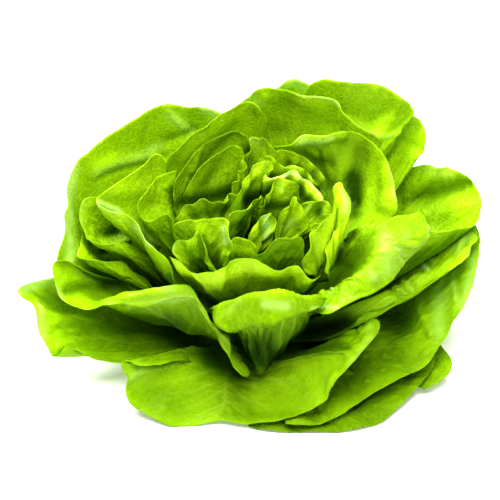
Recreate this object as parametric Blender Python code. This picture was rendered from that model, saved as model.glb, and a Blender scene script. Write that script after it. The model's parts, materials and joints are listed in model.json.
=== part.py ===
"""Head of butterhead lettuce, an open rosette standing upright on its cut stem.

The frame: origin at the middle of the stem's cut foot, +Z up, -Y the side the
rosette leans open towards.  Every leaf is a thin solid of its own that grows
from the stem, and no leaf touches another.

A leaf is one smooth sheet.  Its inner edge lies on the stem, its outer edge is
the leaf's wavy rim, and each line between them leaves the stem at the leaf's
own slope and turns up to the rim.  The rims are drawn on a drafting plane of
squares that is tipped LEAN back from the vertical, with a height in
millimetres for each point, so a rim that shows from above and in front is laid
out as it shows.  Hidden rims are given by bearing, radius and height.

After the sheets are laid out they are eased apart, innermost to outermost, so
that the solids clear one another all the way down to the stem.
"""
import math

import bpy
import numpy as np
from mathutils.bvhtree import BVHTree

MM = 0.001

# ---- driving dimensions, millimetres unless said ----
TH = 1.0             # leaf thickness
GAP = 2.0            # aim for the space between the middles of neighbouring leaves
EYE = 10.0           # height of the point that the leaves fan out from
FLOOR = 1.1          # lowest the middle of a leaf comes
LOW_BASE = 7.5       # height of the outermost leaf's joint on the stem
HIGH_BASE = 44.0     # height of the innermost leaf's joint on the stem
JOINT_STEP = 2.2     # room between joints on the same side of the stem
NU, NV = 48, 20      # lines across and steps along a leaf's working sheet
NT, NR, DR = 180, 75, 2.0   # bearings, distance steps and step length used to ease leaves apart
STEM_SIDES = 32
LEAN = math.radians(40.0)      # drafting plane: how far its lines of sight look down
SQUARE = 0.56                  # one square of the drafting plane, mm
FOOT = (250.0, 350.0)          # the stem's foot on the drafting plane
STEM = [(0.0, 14.5), (3.0, 15.5), (10.0, 16.0), (20.0, 14.5), (30.0, 12.0), (40.0, 9.0), (48.0, 5.5), (52.0, 2.0)]  # (height, radius)
STEM_TOP = 52.0
CLEAR = 0.35


def D(gx, gy, z):
    x = (gx - FOOT[0]) * SQUARE
    q = (FOOT[1] - gy) * SQUARE
    return (x, (q - z * math.cos(LEAN)) / math.sin(LEAN), z)


def C(az, r, z):
    a = math.radians(az)
    return (r * math.cos(a), r * math.sin(a), z)


def stem_radius(z):
    zs = [s[0] for s in STEM]
    rs = [s[1] for s in STEM]
    return np.interp(z, zs, rs)


def spline(t, pts, tt):
    """Natural cubic spline through pts at t, read at tt."""
    t = np.asarray(t, float)
    pts = np.asarray(pts, float)
    n = len(t)
    if n == 2:
        w = ((tt - t[0]) / (t[1] - t[0]))[:, None]
        return pts[0] * (1 - w) + pts[1] * w
    h = np.diff(t)
    A = np.zeros((n, n))
    R = np.zeros((n, pts.shape[1]))
    A[0, 0] = A[-1, -1] = 1
    for i in range(1, n - 1):
        A[i, i - 1], A[i, i], A[i, i + 1] = h[i - 1], 2 * (h[i - 1] + h[i]), h[i]
        R[i] = 6 * ((pts[i + 1] - pts[i]) / h[i] - (pts[i] - pts[i - 1]) / h[i - 1])
    M = np.linalg.solve(A, R)
    k = np.clip(np.searchsorted(t, tt, side="right") - 1, 0, n - 2)
    d = (tt - t[k])[:, None]
    e = (t[k + 1] - tt)[:, None]
    hk = h[k][:, None]
    return (M[k] * e**3 + M[k + 1] * d**3) / (6 * hk) + (pts[k] / hk - M[k] * hk / 6) * e + (pts[k + 1] / hk - M[k + 1] * hk / 6) * d


def chord(pts):
    pts = np.asarray(pts, float)
    s = np.concatenate([[0], np.cumsum(np.linalg.norm(np.diff(pts, axis=0), axis=1) ** 0.75)])
    return s / s[-1]


def even(pts, n):
    """n points spaced evenly along a smooth curve through pts."""
    pts = np.asarray(pts, float)
    fine = spline(chord(pts), pts, np.linspace(0, 1, 40 * len(pts)))
    s = np.concatenate([[0], np.cumsum(np.linalg.norm(np.diff(fine, axis=0), axis=1))])
    at = np.linspace(0, s[-1], n)
    return np.stack([np.interp(at, s, fine[:, k]) for k in range(3)], axis=1)


def ccw(pts):
    a = np.unwrap([math.atan2(p[1], p[0]) for p in pts])
    return a[-1] > a[0]


# Outermost leaf first.  Each row: name, bearing of its joint (degrees from +X
# towards +Y), the rim, and its habit: eps is the slope it leaves the stem at
# in degrees, k how far it keeps to that slope, and mid a line that a folded
# leaf passes through on its way to the rim.
LEAVES = [
 ("outer_back_low", 116, [C(68,86,16),C(78,102,23),C(88,114,29),C(99,121,32),C(110,124,36),C(121,121,34),C(132,117,35),C(143,108,30),C(153,98,26),C(163,84,18)], dict(eps=-20,k=.52)),
 ("outer_back_right_low", 46, [C(4,84,20),C(14,100,26),C(25,110,30),C(36,114,35),C(47,117,33),C(58,116,36),C(68,111,31),C(77,102,27),C(86,88,20)], dict(eps=-18,k=.52)),
 ("outer_right_low", -18, [C(-50,78,3),D(418,386,6),D(427,386,8),D(438,381,9),D(448,372,12),D(451,362,14),D(447,354,15),D(440,345,16),C(2,100,20),C(14,90,26)], dict(eps=-2,k=.5)),
 ("outer_front_right", -52, [D(248,424,2),D(262,428,1.5),D(280,430,1.2),D(300,430,1.2),D(325,430,1.2),D(350,429,1.2),D(366,425,1.5),D(379,420,2.5),D(392,411,4),D(404,400,6),D(418,386,9),D(428,373,12),D(434,360,16),D(432,348,20)], dict(eps=-3,k=.5)),
 ("outer_left", 192, [D(165,368,14),D(140,364,20),D(121,361,25),D(105,360,27),D(92,357,29),D(80,350,33),D(70,347,35),D(62,352,33),D(56,357,30),D(50,350,33),D(45,340,37),D(40,325,42),D(36,310,46),D(25,299,50),D(18,290,53),D(30,282,57),D(50,274,60),D(66,268,61),D(85,262,58),D(100,258,50)], dict(eps=2,k=.5)),
 ("outer_back", 80, [C(40,90,74),C(50,96,98),C(58,98,110),D(308,83,123),D(300,80,125),D(292,79,126),D(284,82,125),D(277,88,121),C(90,88,104),C(100,90,90),C(110,91,80),C(120,86,64)], dict(eps=4,k=.55)),
 ("right_front", -28, [D(285,420,8),D(310,424,6),D(325,420,7),D(340,413,9),D(357,404,11),D(372,393,14),D(386,386,16),D(400,379,18),D(415,370,20),D(428,360,23),D(437,349,27),D(444,337,31),D(450,325,35),D(460,311,40),D(469,295,46),D(475,278,52),D(479,258,58),D(479,240,62),D(476,226,64),D(462,220,60),D(440,222,52)], dict(eps=3,k=.5)),
 ("back_left", 142, [D(80,272,60),D(73,262,70),D(70,248,78),D(69,228,86),D(69,204,94),D(71,180,102),D(76,164,106),D(86,153,108),D(96,146,110),D(118,129,113),D(143,113,116),D(157,107,117),D(169,105,117),D(185,107,116),D(204,108,114),D(221,113,110),D(233,122,100)], dict(eps=5,k=.55)),
 ("front", -108, [D(205,356,20),D(185,357,27),D(160,360,31),D(140,361,33),D(121,360,34),D(123,370,28),D(129,379,23),D(128,390,17),D(130,400,12),D(137,407,8),D(150,415,4.5),D(166,423,1.5),D(183,424,1.2),D(205,422,2),D(222,419,4),D(240,421,4.5),D(260,421,6.5),D(280,417,9.5),D(300,412,13),D(316,406,18),D(326,396,24),D(336,380,32),D(349,363,39),D(362,347,46),D(373,335,51),D(377,324,55),D(374,316,57),D(360,318,52)],
   dict(eps=10,k=.5,mids=[(.6,[(0,D(222,350,16)),(.19,D(170,352,24)),(.40,D(200,378,14)),(.52,D(232,378,12)),(.62,D(255,370,14)),(.75,D(300,355,32)),(.87,D(330,350,43)),(1,D(350,330,46))])])),
 ("right", -15, [D(345,332,38),D(352,327,44),D(362,321,50),D(380,311,54),D(400,299,57),D(420,288,60),D(440,277,62),D(455,268,64),D(466,257,66),D(473,245,68),D(475,234,69),D(466,226,68),D(450,222,62),D(432,222,54)], dict(eps=12,k=.5)),
 ("right_back", 20, [D(412,238,62),D(420,233,68),D(432,231,72),D(450,230,74),D(466,229,73),D(476,224,73),D(481,213,75),D(481,200,79),D(476,188,83),D(467,176,87),D(456,169,89),D(445,166,90),D(437,167,90),D(425,162,92),D(410,161,92),D(397,164,90),D(388,170,82)], dict(eps=10,k=.6)),
 ("back_right_upper", 62, [D(398,142,86),D(408,128,98),D(414,116,106),D(409,105,112),D(400,97,116),D(388,90,120),D(378,86,123),D(360,84,126),D(345,82,128),D(330,79,129),D(318,81,128),D(311,84,126),D(306,90,122),D(298,102,110)], dict(eps=12,k=.55)),
 ("back_right", 42, [D(402,168,78),D(412,166,84),D(421,163,89),D(426,155,93),D(428,145,98),D(425,131,104),D(420,121,108),D(415,118,110),D(405,126,111),D(393,134,110),D(382,141,106)], dict(eps=16,k=.55)),
 ("left_front", -137, [D(127,275,58),D(112,271,62),D(98,268,66),D(80,267,66),D(64,270,65),D(50,277,62),D(42,283,60),D(48,290,59),D(58,298,58),D(72,306,58),D(88,309,60),D(105,306,62),D(122,303,64),D(140,306,63),D(155,304,65),D(170,299,70),D(180,297,73),D(192,297,75),D(202,301,74),D(208,309,69),D(213,320,62),D(219,329,57),D(228,334,55),D(231,345,51),D(230,357,46),D(236,367,42),D(244,373,37),D(250,369,30)],
   dict(eps=20,k=.5,mids=[(.8,[(0,D(140,285,50)),(.2,D(88,284,50)),(.39,D(97,301,52)),(.49,D(128,294,66)),(.58,D(155,288,72)),(.69,D(190,286,79)),(.82,D(210,314,62)),(1,D(240,345,34))])])),
 ("left_low", 178, [C(152,60,54),C(158,78,62),C(165,91,66),C(172,97,68),D(76,255,68),D(75,262,67),D(90,261,69),D(105,258,71),D(120,255,72),D(134,253,71),C(186,52,60)], dict(eps=18,k=.5)),
 ("left_mid", 176, [C(148,64,72),C(158,84,84),D(85,200,88),D(81,210,85),D(80,222,81),D(84,235,78),D(92,244,76),D(104,248,76),D(118,245,78),D(131,238,79),C(182,54,70)], dict(eps=24,k=.55)),
 ("back_top", 80, [D(388,145,98),D(370,133,111),D(360,128,114),D(350,121,117),D(342,111,121),D(338,103,124),D(328,99,126),D(312,97,128),D(296,95,130),D(282,90,131),D(270,89,131),D(258,91,130),D(248,98,127),D(240,103,124),D(232,112,116),D(225,127,102)], dict(eps=26,k=.55)),
 ("right_mid", -25, [D(308,300,68),D(322,308,75),D(335,307,77),D(350,301,78),D(365,295,78),D(380,287,79),D(393,275,80),D(404,263,82),D(415,251,84),D(424,242,85),D(428,231,86),D(426,220,87),D(420,211,89),D(405,215,91),D(390,218,92),D(375,221,91),D(362,226,88),D(350,231,84),D(341,240,76)],
   dict(eps=30,k=.5,mids=[(.68,[(0,D(320,292,62)),(.25,D(345,280,82)),(.5,D(372,255,89)),(.75,D(372,235,91)),(1,D(342,245,70))])])),
 ("front_mid", -88, [D(209,312,64),D(214,320,66),D(222,328,66),D(232,331,64),D(242,328,66),D(250,325,69),D(262,327,69),D(272,325,70),D(282,319,73),D(292,315,75),D(303,311,76),D(318,309,75),D(330,308,70)],
   dict(eps=0,k=.5,mids=[(.42,[(0,D(232,342,34)),(.25,D(246,362,25)),(.45,D(258,371,21)),(.7,D(280,354,28)),(1,D(302,328,42))]),
     (.64,[(0,D(222,328,52)),(.3,D(246,338,50)),(.55,D(266,340,51)),(.8,D(290,328,56)),(1,D(310,316,58))]),
     (.85,[(0,D(213,311,70)),(.2,D(225,301,78)),(.4,D(245,296,84)),(.6,D(272,291,87)),(.8,D(296,295,84)),(1,D(318,302,76))])])),
 ("left_inner", 175, [D(176,174,92),D(168,160,103),D(160,154,106),D(150,162,106),D(138,169,105),D(125,178,104),D(110,190,102),D(96,203,98),D(103,208,97),D(115,213,96),D(128,219,95),D(140,233,94),D(150,242,94),D(160,249,94),D(170,255,92),D(174,265,86),D(178,283,74),D(181,294,62)], dict(eps=34,k=.6)),
 ("back_left_inner", 115, [D(256,155,92),D(263,135,108),D(264,118,118),D(260,108,124),D(250,103,126),D(238,106,125),D(223,114,124),D(210,122,122),D(198,131,119),D(186,142,115),D(175,152,111),D(168,160,106),D(166,172,96)], dict(eps=38,k=.6)),
 ("back_right_inner", 45, [D(358,228,66),D(368,222,76),D(382,218,80),D(394,215,84),D(397,207,88),D(395,190,93),D(393,175,97),D(389,161,101),D(382,151,105),D(373,143,108),D(362,137,112),D(352,134,114),D(340,133,116),D(320,134,117),D(300,136,116),D(288,142,114),D(277,146,111),D(268,150,104)], dict(eps=38,k=.6)),
 ("left_inner_low", 163, [D(174,170,98),D(158,178,102),D(146,192,100),D(138,204,97),D(141,213,94),D(150,221,90),D(158,217,92),D(166,214,94),D(173,218,93),D(176,229,86)], dict(eps=46,k=.55)),
 ("back_left_mid", 128, [D(172,196,94),D(177,182,100),D(184,171,104),D(190,161,107),D(195,152,109),D(203,145,111),D(214,140,113),D(226,136,115),D(238,134,115),D(247,138,112),D(252,150,106)], dict(eps=44,k=.6)),
 ("back_inner", 120, [D(184,198,92),D(189,186,97),D(195,174,101),D(204,164,104),D(214,156,106),D(225,150,107),D(235,146,107),D(243,150,104),D(246,162,98)], dict(eps=50,k=.6)),
 ("heart_frill", 84, [D(228,196,90),D(236,184,98),D(241,174,104),D(246,163,109),D(246,152,114),D(251,143,118),D(256,139,119),D(262,142,117),D(268,146,114),D(276,149,111),D(285,148,110),D(293,152,108),D(303,158,104),D(314,166,100),D(324,178,92)], dict(eps=54,k=.6)),
 ("heart_front", -92, [D(172,264,86),D(173,256,96),D(182,263,95),D(192,270,93),D(202,273,91),D(212,272,93),D(221,267,96),D(231,261,99),D(245,258,101),D(258,260,102),D(270,266,98),D(280,270,95),D(288,267,97),D(294,265,98),D(301,270,96),D(309,277,92),D(320,275,88)], dict(eps=44,k=.5)),
 ("heart_back_right", 64, [D(254,172,98),D(259,160,104),D(265,154,107),D(272,153,107),D(279,160,104),D(284,165,103),D(292,166,104),D(301,170,103),D(310,175,100),D(318,183,97),D(326,194,90)], dict(eps=62,k=.55)),
 ("heart_left_curl", 226, [D(178,268,86),D(173,256,94),D(174,246,99),D(181,240,102),D(191,237,104),D(199,230,106),D(203,240,102),D(204,252,97),D(209,262,90),D(214,270,84)], dict(eps=62,k=.5)),
 ("heart_left", 205, [D(174,238,90),D(177,225,101),D(186,221,103),D(196,222,104),D(208,219,106),D(220,218,108),D(228,220,108),D(230,232,105),D(229,246,101),D(228,260,92)], dict(eps=58,k=.55)),
 ("heart_right", -25, [D(303,272,78),D(301,261,87),D(306,248,93),D(311,235,98),D(320,224,102),D(331,214,106),D(333,199,112),D(338,182,118),D(346,195,114),D(350,210,107),D(341,221,101),D(329,237,95),D(325,252,89),D(322,270,80)], dict(eps=58,k=.5,mids=[(.5,[(0,D(309,284,64)),(.5,D(314,280,66)),(1,D(319,283,64))])])),
 ("heart_left_back", 158, [D(176,222,88),D(181,212,97),D(187,206,101),D(196,202,103),D(206,200,104),D(216,203,102),D(226,203,101),D(235,199,101),D(242,197,96)], dict(eps=66,k=.5)),
 ("heart_back", 88, [D(216,214,86),D(224,204,94),D(230,196,99),D(237,189,102),D(242,180,105),D(248,172,107),D(255,164,109),D(263,160,110),D(271,161,109),D(272,168,106),D(268,175,103),D(276,176,102),D(284,172,104),D(291,170,105),D(298,173,104),D(303,180,101),D(312,185,99),D(320,193,97),D(327,203,95),D(332,214,88)], dict(eps=68,k=.55)),
 ("heart_front_right", -50, [D(250,266,82),D(257,256,92),D(263,251,96),D(271,246,99),D(282,239,101),D(293,238,101),D(302,242,97),D(305,254,88),D(304,264,80)], dict(eps=66,k=.5)),
 ("heart_front_left", -112, [D(230,262,82),D(231,248,92),D(234,240,96),D(243,239,97),D(250,243,95),D(256,250,91),D(258,260,82)], dict(eps=70,k=.5)),
 ("heart_core_left", 172, [D(226,240,84),D(227,228,92),D(229,219,97),D(236,214,99),D(243,212,100),D(249,206,101),D(256,201,101),D(259,208,92)], dict(eps=74,k=.45)),
 ("heart_curl", 5, [D(305,228,86),D(303,214,96),D(304,205,101),D(311,201,103),D(321,200,104),D(329,204,103),D(332,213,100),D(328,221,97),D(320,224,93),D(314,221,90)], dict(eps=74,k=.45)),
 ("heart_inner_back", 72, [D(258,204,88),D(266,199,96),D(271,191,101),D(273,184,104),D(284,180,105),D(294,182,104),D(300,190,99),D(303,200,90)], dict(eps=76,k=.45)),
 ("heart_inner_right", -20, [D(276,240,84),D(276,226,94),D(281,214,101),D(288,206,105),D(296,198,108),D(299,208,104),D(305,214,101),D(305,222,97),D(300,231,92),D(292,238,84)], dict(eps=80,k=.4)),
 ("heart_inner_left", 196, [D(262,246,82),D(261,234,91),D(261,222,98),D(266,214,102),D(271,211,103),D(275,220,99),D(274,234,90),D(272,244,82)], dict(eps=82,k=.4)),
]

N = len(LEAVES)


def spread_of(i):
    """Half the width of a leaf's joint, degrees round the stem."""
    return LEAVES[i][3].get("spread", 22 + 12 * i / (N - 1))


def base_heights():
    """Joint heights climb the stem from the outermost leaf to the heart, with
    room between any two joints that share a side of the stem."""
    z = []
    for i in range(N):
        low = LOW_BASE + (HIGH_BASE - LOW_BASE) * (i / (N - 1)) ** 0.9
        for j in range(i):
            d = abs((LEAVES[i][1] - LEAVES[j][1] + 180) % 360 - 180)
            if d < spread_of(i) + spread_of(j) + 3:
                low = max(low, z[j] + JOINT_STEP)
        z.append(low)
    return z


BASE = base_heights()


def blank(i):
    name, az, pts, opt = LEAVES[i]
    eps = math.radians(opt["eps"])
    k = opt["k"]
    rim = even(pts, NU + 1)
    a = math.radians(az)
    left = np.array([-math.sin(a), math.cos(a), 0.0])
    flip = float(np.dot(np.array(pts[-1]) - np.array(pts[0]), left)) < 0
    mids = opt.get("mids", [])
    Ms = [spline([m[0] for m in mp], [m[1] for m in mp], np.linspace(0, 1, NU + 1)) for vm, mp in mids]
    if flip:
        rim = rim[::-1].copy()
        Ms = [M[::-1].copy() for M in Ms]
    u = np.linspace(0, 1, NU + 1)
    zb = BASE[i]
    rb = float(stem_radius(zb)) + CLEAR + TH / 2 + 0.1
    spread = math.radians(spread_of(i))
    ab = a + (2 * u - 1) * spread
    B = np.stack([rb * np.cos(ab), rb * np.sin(ab), np.full_like(u, zb)], axis=1)
    # direction each line sets off in
    to = rim - B
    ra = np.arctan2(to[:, 1], to[:, 0])
    d = (ra - ab + math.pi) % (2 * math.pi) - math.pi
    rr = np.hypot(to[:, 0], to[:, 1])
    w = 0.5 * np.clip(rr / 40.0, 0, 1)
    da = ab + np.clip(d, -1.6, 1.6) * w
    dirs = np.stack([np.cos(da) * math.cos(eps), np.sin(da) * math.cos(eps), np.full_like(u, math.sin(eps))], axis=1)
    v = np.linspace(0, 1, NV + 1)
    P = np.zeros((NU + 1, NV + 1, 3))
    if not mids:
        L = np.linalg.norm(rim - B, axis=1)[:, None]
        P1 = B + k * L * dirs
        for j, t in enumerate(v):
            P[:, j] = (1 - t) ** 2 * B + 2 * t * (1 - t) * P1 + t * t * rim
    else:
        L = np.linalg.norm(Ms[0] - B, axis=1)[:, None]
        P1 = B + k * L * dirs
        Q = 0.25 * B + 0.5 * P1 + 0.25 * Ms[0]
        at = [0, mids[0][0] / 2] + [m[0] for m in mids] + [1]
        for c in range(NU + 1):
            P[c] = spline(at, [B[c], Q[c]] + [M[c] for M in Ms] + [rim[c]], v)
    return P


def polar(P):
    d = P - np.array([0, 0, EYE])
    rho = np.linalg.norm(d, axis=-1)
    th = np.arctan2(d[..., 1], d[..., 0])
    psi = np.arccos(np.clip(d[..., 2] / rho, -1, 1))
    return th, rho, psi


def unpolar(th, rho, psi):
    return np.stack([rho * np.sin(psi) * np.cos(th), rho * np.sin(psi) * np.sin(th), EYE + rho * np.cos(psi)], axis=-1)


def dense(G, f=3):
    """Bilinear refinement of a grid."""
    a, b = G.shape[:2]
    ua = np.linspace(0, a - 1, (a - 1) * f + 1)
    vb = np.linspace(0, b - 1, (b - 1) * f + 1)
    i0 = np.minimum(ua.astype(int), a - 2); fu = (ua - i0)[:, None, None]
    j0 = np.minimum(vb.astype(int), b - 2); fv = (vb - j0)[None, :, None]
    g = G
    A = g[i0][:, j0]; B_ = g[i0 + 1][:, j0]; C_ = g[i0][:, j0 + 1]; D_ = g[i0 + 1][:, j0 + 1]
    return A * (1 - fu) * (1 - fv) + B_ * fu * (1 - fv) + C_ * (1 - fu) * fv + D_ * fu * fv


def raster(P):
    th, rho, psi = polar(dense(P, 2).reshape(-1, 3))
    it = np.floor((th + math.pi) / (2 * math.pi) * NT).astype(int) % NT
    ir = np.clip((rho / DR).astype(int), 0, NR - 1)
    hi = np.full((NT, NR), -9.0)
    lo = np.full((NT, NR), 9.0)
    np.maximum.at(hi, (it, ir), psi)
    np.minimum.at(lo, (it, ir), psi)
    # grow by one cell
    h2 = hi.copy(); l2 = lo.copy()
    for dt in (-1, 0, 1):
        for dr in (-1, 0, 1):
            h = np.roll(hi, dt, axis=0); l = np.roll(lo, dt, axis=0)
            if dr:
                h = np.roll(h, dr, axis=1); l = np.roll(l, dr, axis=1)
                if dr == 1:
                    h[:, 0] = -9; l[:, 0] = 9
                else:
                    h[:, -1] = -9; l[:, -1] = 9
            h2 = np.maximum(h2, h); l2 = np.minimum(l2, l)
    return h2, l2


def blur(F, s):
    for axis in (0, 1):
        for _ in range(s):
            a = np.roll(F, 1, axis); b = np.roll(F, -1, axis)
            sl = [slice(None)] * 2
            sl[axis] = 0
            a[tuple(sl)] = F[tuple(sl)]
            sl[axis] = -1
            b[tuple(sl)] = F[tuple(sl)]
            F = 0.25 * a + 0.5 * F + 0.25 * b
    return F


def grow(F):
    G = F.copy()
    for axis in (0, 1):
        a = np.roll(G, 1, axis); b = np.roll(G, -1, axis)
        sl = [slice(None)] * 2
        sl[axis] = 0; a[tuple(sl)] = G[tuple(sl)]
        sl[axis] = -1; b[tuple(sl)] = G[tuple(sl)]
        G = np.maximum(G, np.maximum(a, b))
    return G


def relax(Ps, rounds=40, gap=GAP, verbose=True):
    """Leaves listed outermost first; slide each round the centre until they clear."""
    v = np.linspace(0, 1, NV + 1)
    hold = np.clip(v / 0.12, 0, 1)[None, :]
    base = [P.copy() for P in Ps]
    for it in range(rounds):
        hi = np.full((N, NT, NR), -9.0)
        lo = np.full((N, NT, NR), 9.0)
        for i, P in enumerate(Ps):
            hi[i], lo[i] = raster(P)
        # inner leaves come later in the list
        inner = np.full((N, NT, NR), -9.0)
        outer = np.full((N, NT, NR), 9.0)
        for i in range(N - 2, -1, -1):
            inner[i] = np.maximum(inner[i + 1], hi[i + 1])
        for i in range(1, N):
            outer[i] = np.minimum(outer[i - 1], lo[i - 1])
        tot = 0
        worst = 0
        for i, P in enumerate(Ps):
            th, rho, psi = polar(P)
            jt = np.floor((th + math.pi) / (2 * math.pi) * NT).astype(int) % NT
            jr = np.clip((rho / DR).astype(int), 0, NR - 1)
            g = gap / rho
            need_out = np.clip(inner[i][jt, jr] + g - psi, 0, 0.6)
            need_out[inner[i][jt, jr] < -5] = 0
            need_in = np.clip(psi + g - outer[i][jt, jr], 0, 0.6)
            need_in[outer[i][jt, jr] > 5] = 0
            tot += float((need_out * rho > 0.3).sum() + (need_in * rho > 0.3).sum())
            worst = max(worst, float((need_out * rho).max()))
            up = blur(grow(need_out), 3) * 0.5
            dn = blur(grow(need_in), 3) * 0.5
            psi2 = psi + (up - dn) * hold
            Q = unpolar(th, rho, psi2)
            low = Q[..., 2] < FLOOR
            if low.any():
                z = np.maximum(Q[..., 2], FLOOR)
                c = np.clip((z - EYE) / rho, -1, 1)
                Q = unpolar(th, rho, np.where(low, np.arccos(c), psi2))
            Ps[i] = Q
        if verbose and it % 5 == 0:
            print("round", it, "violations", int(tot), "worst", round(worst, 2))
    return Ps


def normals(P):
    du = np.gradient(P, axis=0)
    dv = np.gradient(P, axis=1)
    n = np.cross(du, dv)
    L = np.linalg.norm(n, axis=-1, keepdims=True)
    return n / np.maximum(L, 1e-9)


def picks(i):
    """Which lines and steps of the working sheet the solid keeps."""
    if not LEAVES[i][0].startswith("heart"):
        cols = list(range(0, NU + 1, 4))
        rows = [0, 3, 6, 9, 12, 15, 18, 20]
    else:
        cols = list(range(0, NU + 1, 6))
        rows = [0, 4, 8, 12, 16, 20]
    return cols, rows


def leaf_solid(i, P, th):
    """Vertices and triangles of the closed thin solid, outward facing."""
    cols, rows = picks(i)
    G = P[np.ix_(cols, rows)]
    n = normals(G)
    a, b = len(cols), len(rows)
    top = (G + n * th / 2).reshape(-1, 3)
    bot = (G - n * th / 2).reshape(-1, 3)
    V = np.concatenate([top, bot])
    K = a * b
    F = []
    for r in range(a - 1):
        for c in range(b - 1):
            p, q, s, t = r * b + c, (r + 1) * b + c, (r + 1) * b + c + 1, r * b + c + 1
            # split along the shorter diagonal
            if np.linalg.norm(G[r, c] - G[r + 1, c + 1]) <= np.linalg.norm(G[r + 1, c] - G[r, c + 1]):
                tri = [(p, q, s), (p, s, t)]
            else:
                tri = [(p, q, t), (q, s, t)]
            for f in tri:
                F.append(f)
                F.append((f[2] + K, f[1] + K, f[0] + K))
    ring = [r * b for r in range(a)] + [(a - 1) * b + c for c in range(1, b)] + [r * b + b - 1 for r in range(a - 2, -1, -1)] + [c for c in range(b - 2, 0, -1)]
    m = len(ring)
    for k in range(m):
        p, q = ring[k], ring[(k + 1) % m]
        F.append((p, p + K, q + K))
        F.append((p, q + K, q))
    return V, F


def stem_solid():
    V, F = [], []
    for z, r in STEM:
        for k in range(STEM_SIDES):
            a = 2 * math.pi * k / STEM_SIDES
            V.append((r * math.cos(a), r * math.sin(a), z))
    m = len(STEM)
    for j in range(m - 1):
        for k in range(STEM_SIDES):
            p, q = j * STEM_SIDES + k, j * STEM_SIDES + (k + 1) % STEM_SIDES
            F.append((p, q, q + STEM_SIDES))
            F.append((p, q + STEM_SIDES, p + STEM_SIDES))
    lo = len(V)
    V.append((0, 0, 0))
    V.append((0, 0, STEM_TOP))
    for k in range(STEM_SIDES):
        q = (k + 1) % STEM_SIDES
        F.append((lo, q, k))
        F.append((lo + 1, (m - 1) * STEM_SIDES + k, (m - 1) * STEM_SIDES + q))
    return np.array(V, float), F


def touching(Ps, th):
    """Pairs of leaves whose solids cross, with where each crosses."""
    trees, boxes, solids = [], [], []
    for i, P in enumerate(Ps):
        V, F = leaf_solid(i, P, th)
        solids.append((V, F))
        trees.append(BVHTree.FromPolygons(V.tolist(), F, all_triangles=True))
        boxes.append((V.min(0), V.max(0)))
    out = []
    for i in range(N):
        for j in range(i + 1, N):
            if np.any(boxes[i][0] > boxes[j][1]) or np.any(boxes[j][0] > boxes[i][1]):
                continue
            hit = trees[i].overlap(trees[j])
            if hit:
                Vi, Fi = solids[i]
                spots = np.array([Vi[list(Fi[h[0]])].mean(0) for h in hit])
                out.append((i, j, spots))
    return out


def part_crossings(Ps, rounds=16):
    """Slide leaves that still cross away from each other, a little each round."""
    v = np.linspace(0, 1, NV + 1)
    hold = np.clip(v / 0.12, 0, 1)[None, :]
    for it in range(rounds):
        bad = touching(Ps, TH + 0.45)
        print("crossing round", it, "pairs", len(bad), [(LEAVES[a][0], LEAVES[b][0], len(s)) for a, b, s in bad][:5])
        if not bad:
            break
        shift = {}
        for i, j, spots in bad:
            for k, sign in ((i, 1.0), (j, -1.0)):
                P = Ps[k]
                d = np.full(P.shape[:2], 1e9)
                for s in spots[:60]:
                    d = np.minimum(d, np.linalg.norm(P - s, axis=-1))
                w = np.exp(-(d / 9.0) ** 2)
                S = shift.setdefault(k, [np.zeros(P.shape[:2]), np.zeros(P.shape[:2])])
                if sign > 0:
                    S[0] = np.maximum(S[0], w)
                else:
                    S[1] = np.maximum(S[1], w)
        for k, (up, dn) in shift.items():
            th_, rho, psi = polar(Ps[k])
            psi2 = psi + (up - dn) * hold * 0.8 / rho
            Q = unpolar(th_, rho, psi2)
            low = Q[..., 2] < FLOOR
            c = np.clip((np.maximum(Q[..., 2], FLOOR) - EYE) / rho, -1, 1)
            Ps[k] = np.where(low[..., None], unpolar(th_, rho, np.arccos(c)), Q)
    return Ps


def material(name, rgb, rough):
    m = bpy.data.materials.new(name)
    m.use_nodes = True
    p = m.node_tree.nodes["Principled BSDF"]
    p.inputs["Base Color"].default_value = (rgb[0], rgb[1], rgb[2], 1.0)
    p.inputs["Roughness"].default_value = rough
    m.diffuse_color = (rgb[0], rgb[1], rgb[2], 1.0)
    return m


def put(name, V, F, mat):
    me = bpy.data.meshes.new(name)
    me.from_pydata((V * MM).tolist(), [], F)
    me.validate()
    me.update()
    ob = bpy.data.objects.new(name, me)
    bpy.context.scene.collection.objects.link(ob)
    me.materials.append(mat)
    return ob


def leaf_colour(i):
    """Outer leaves are deeper green, the heart is paler and yellower."""
    f = i / (N - 1)
    return (0.22 + 0.22 * f, 0.50 + 0.18 * f, 0.010 + 0.03 * f)


def main():
    for ob in list(bpy.data.objects):
        bpy.data.objects.remove(ob, do_unlink=True)
    Ps = relax([blank(i) for i in range(N)], 12)
    Ps = part_crossings(Ps)
    V, F = stem_solid()
    put("stem", V, F, material("stem_flesh", (0.62, 0.70, 0.36), 0.6))
    vol = 0
    for i, P in enumerate(Ps):
        V, F = leaf_solid(i, P, TH)
        put(LEAVES[i][0], V, F, material(LEAVES[i][0] + "_green", leaf_colour(i), 0.5))


main()
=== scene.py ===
import json
import math

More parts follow.
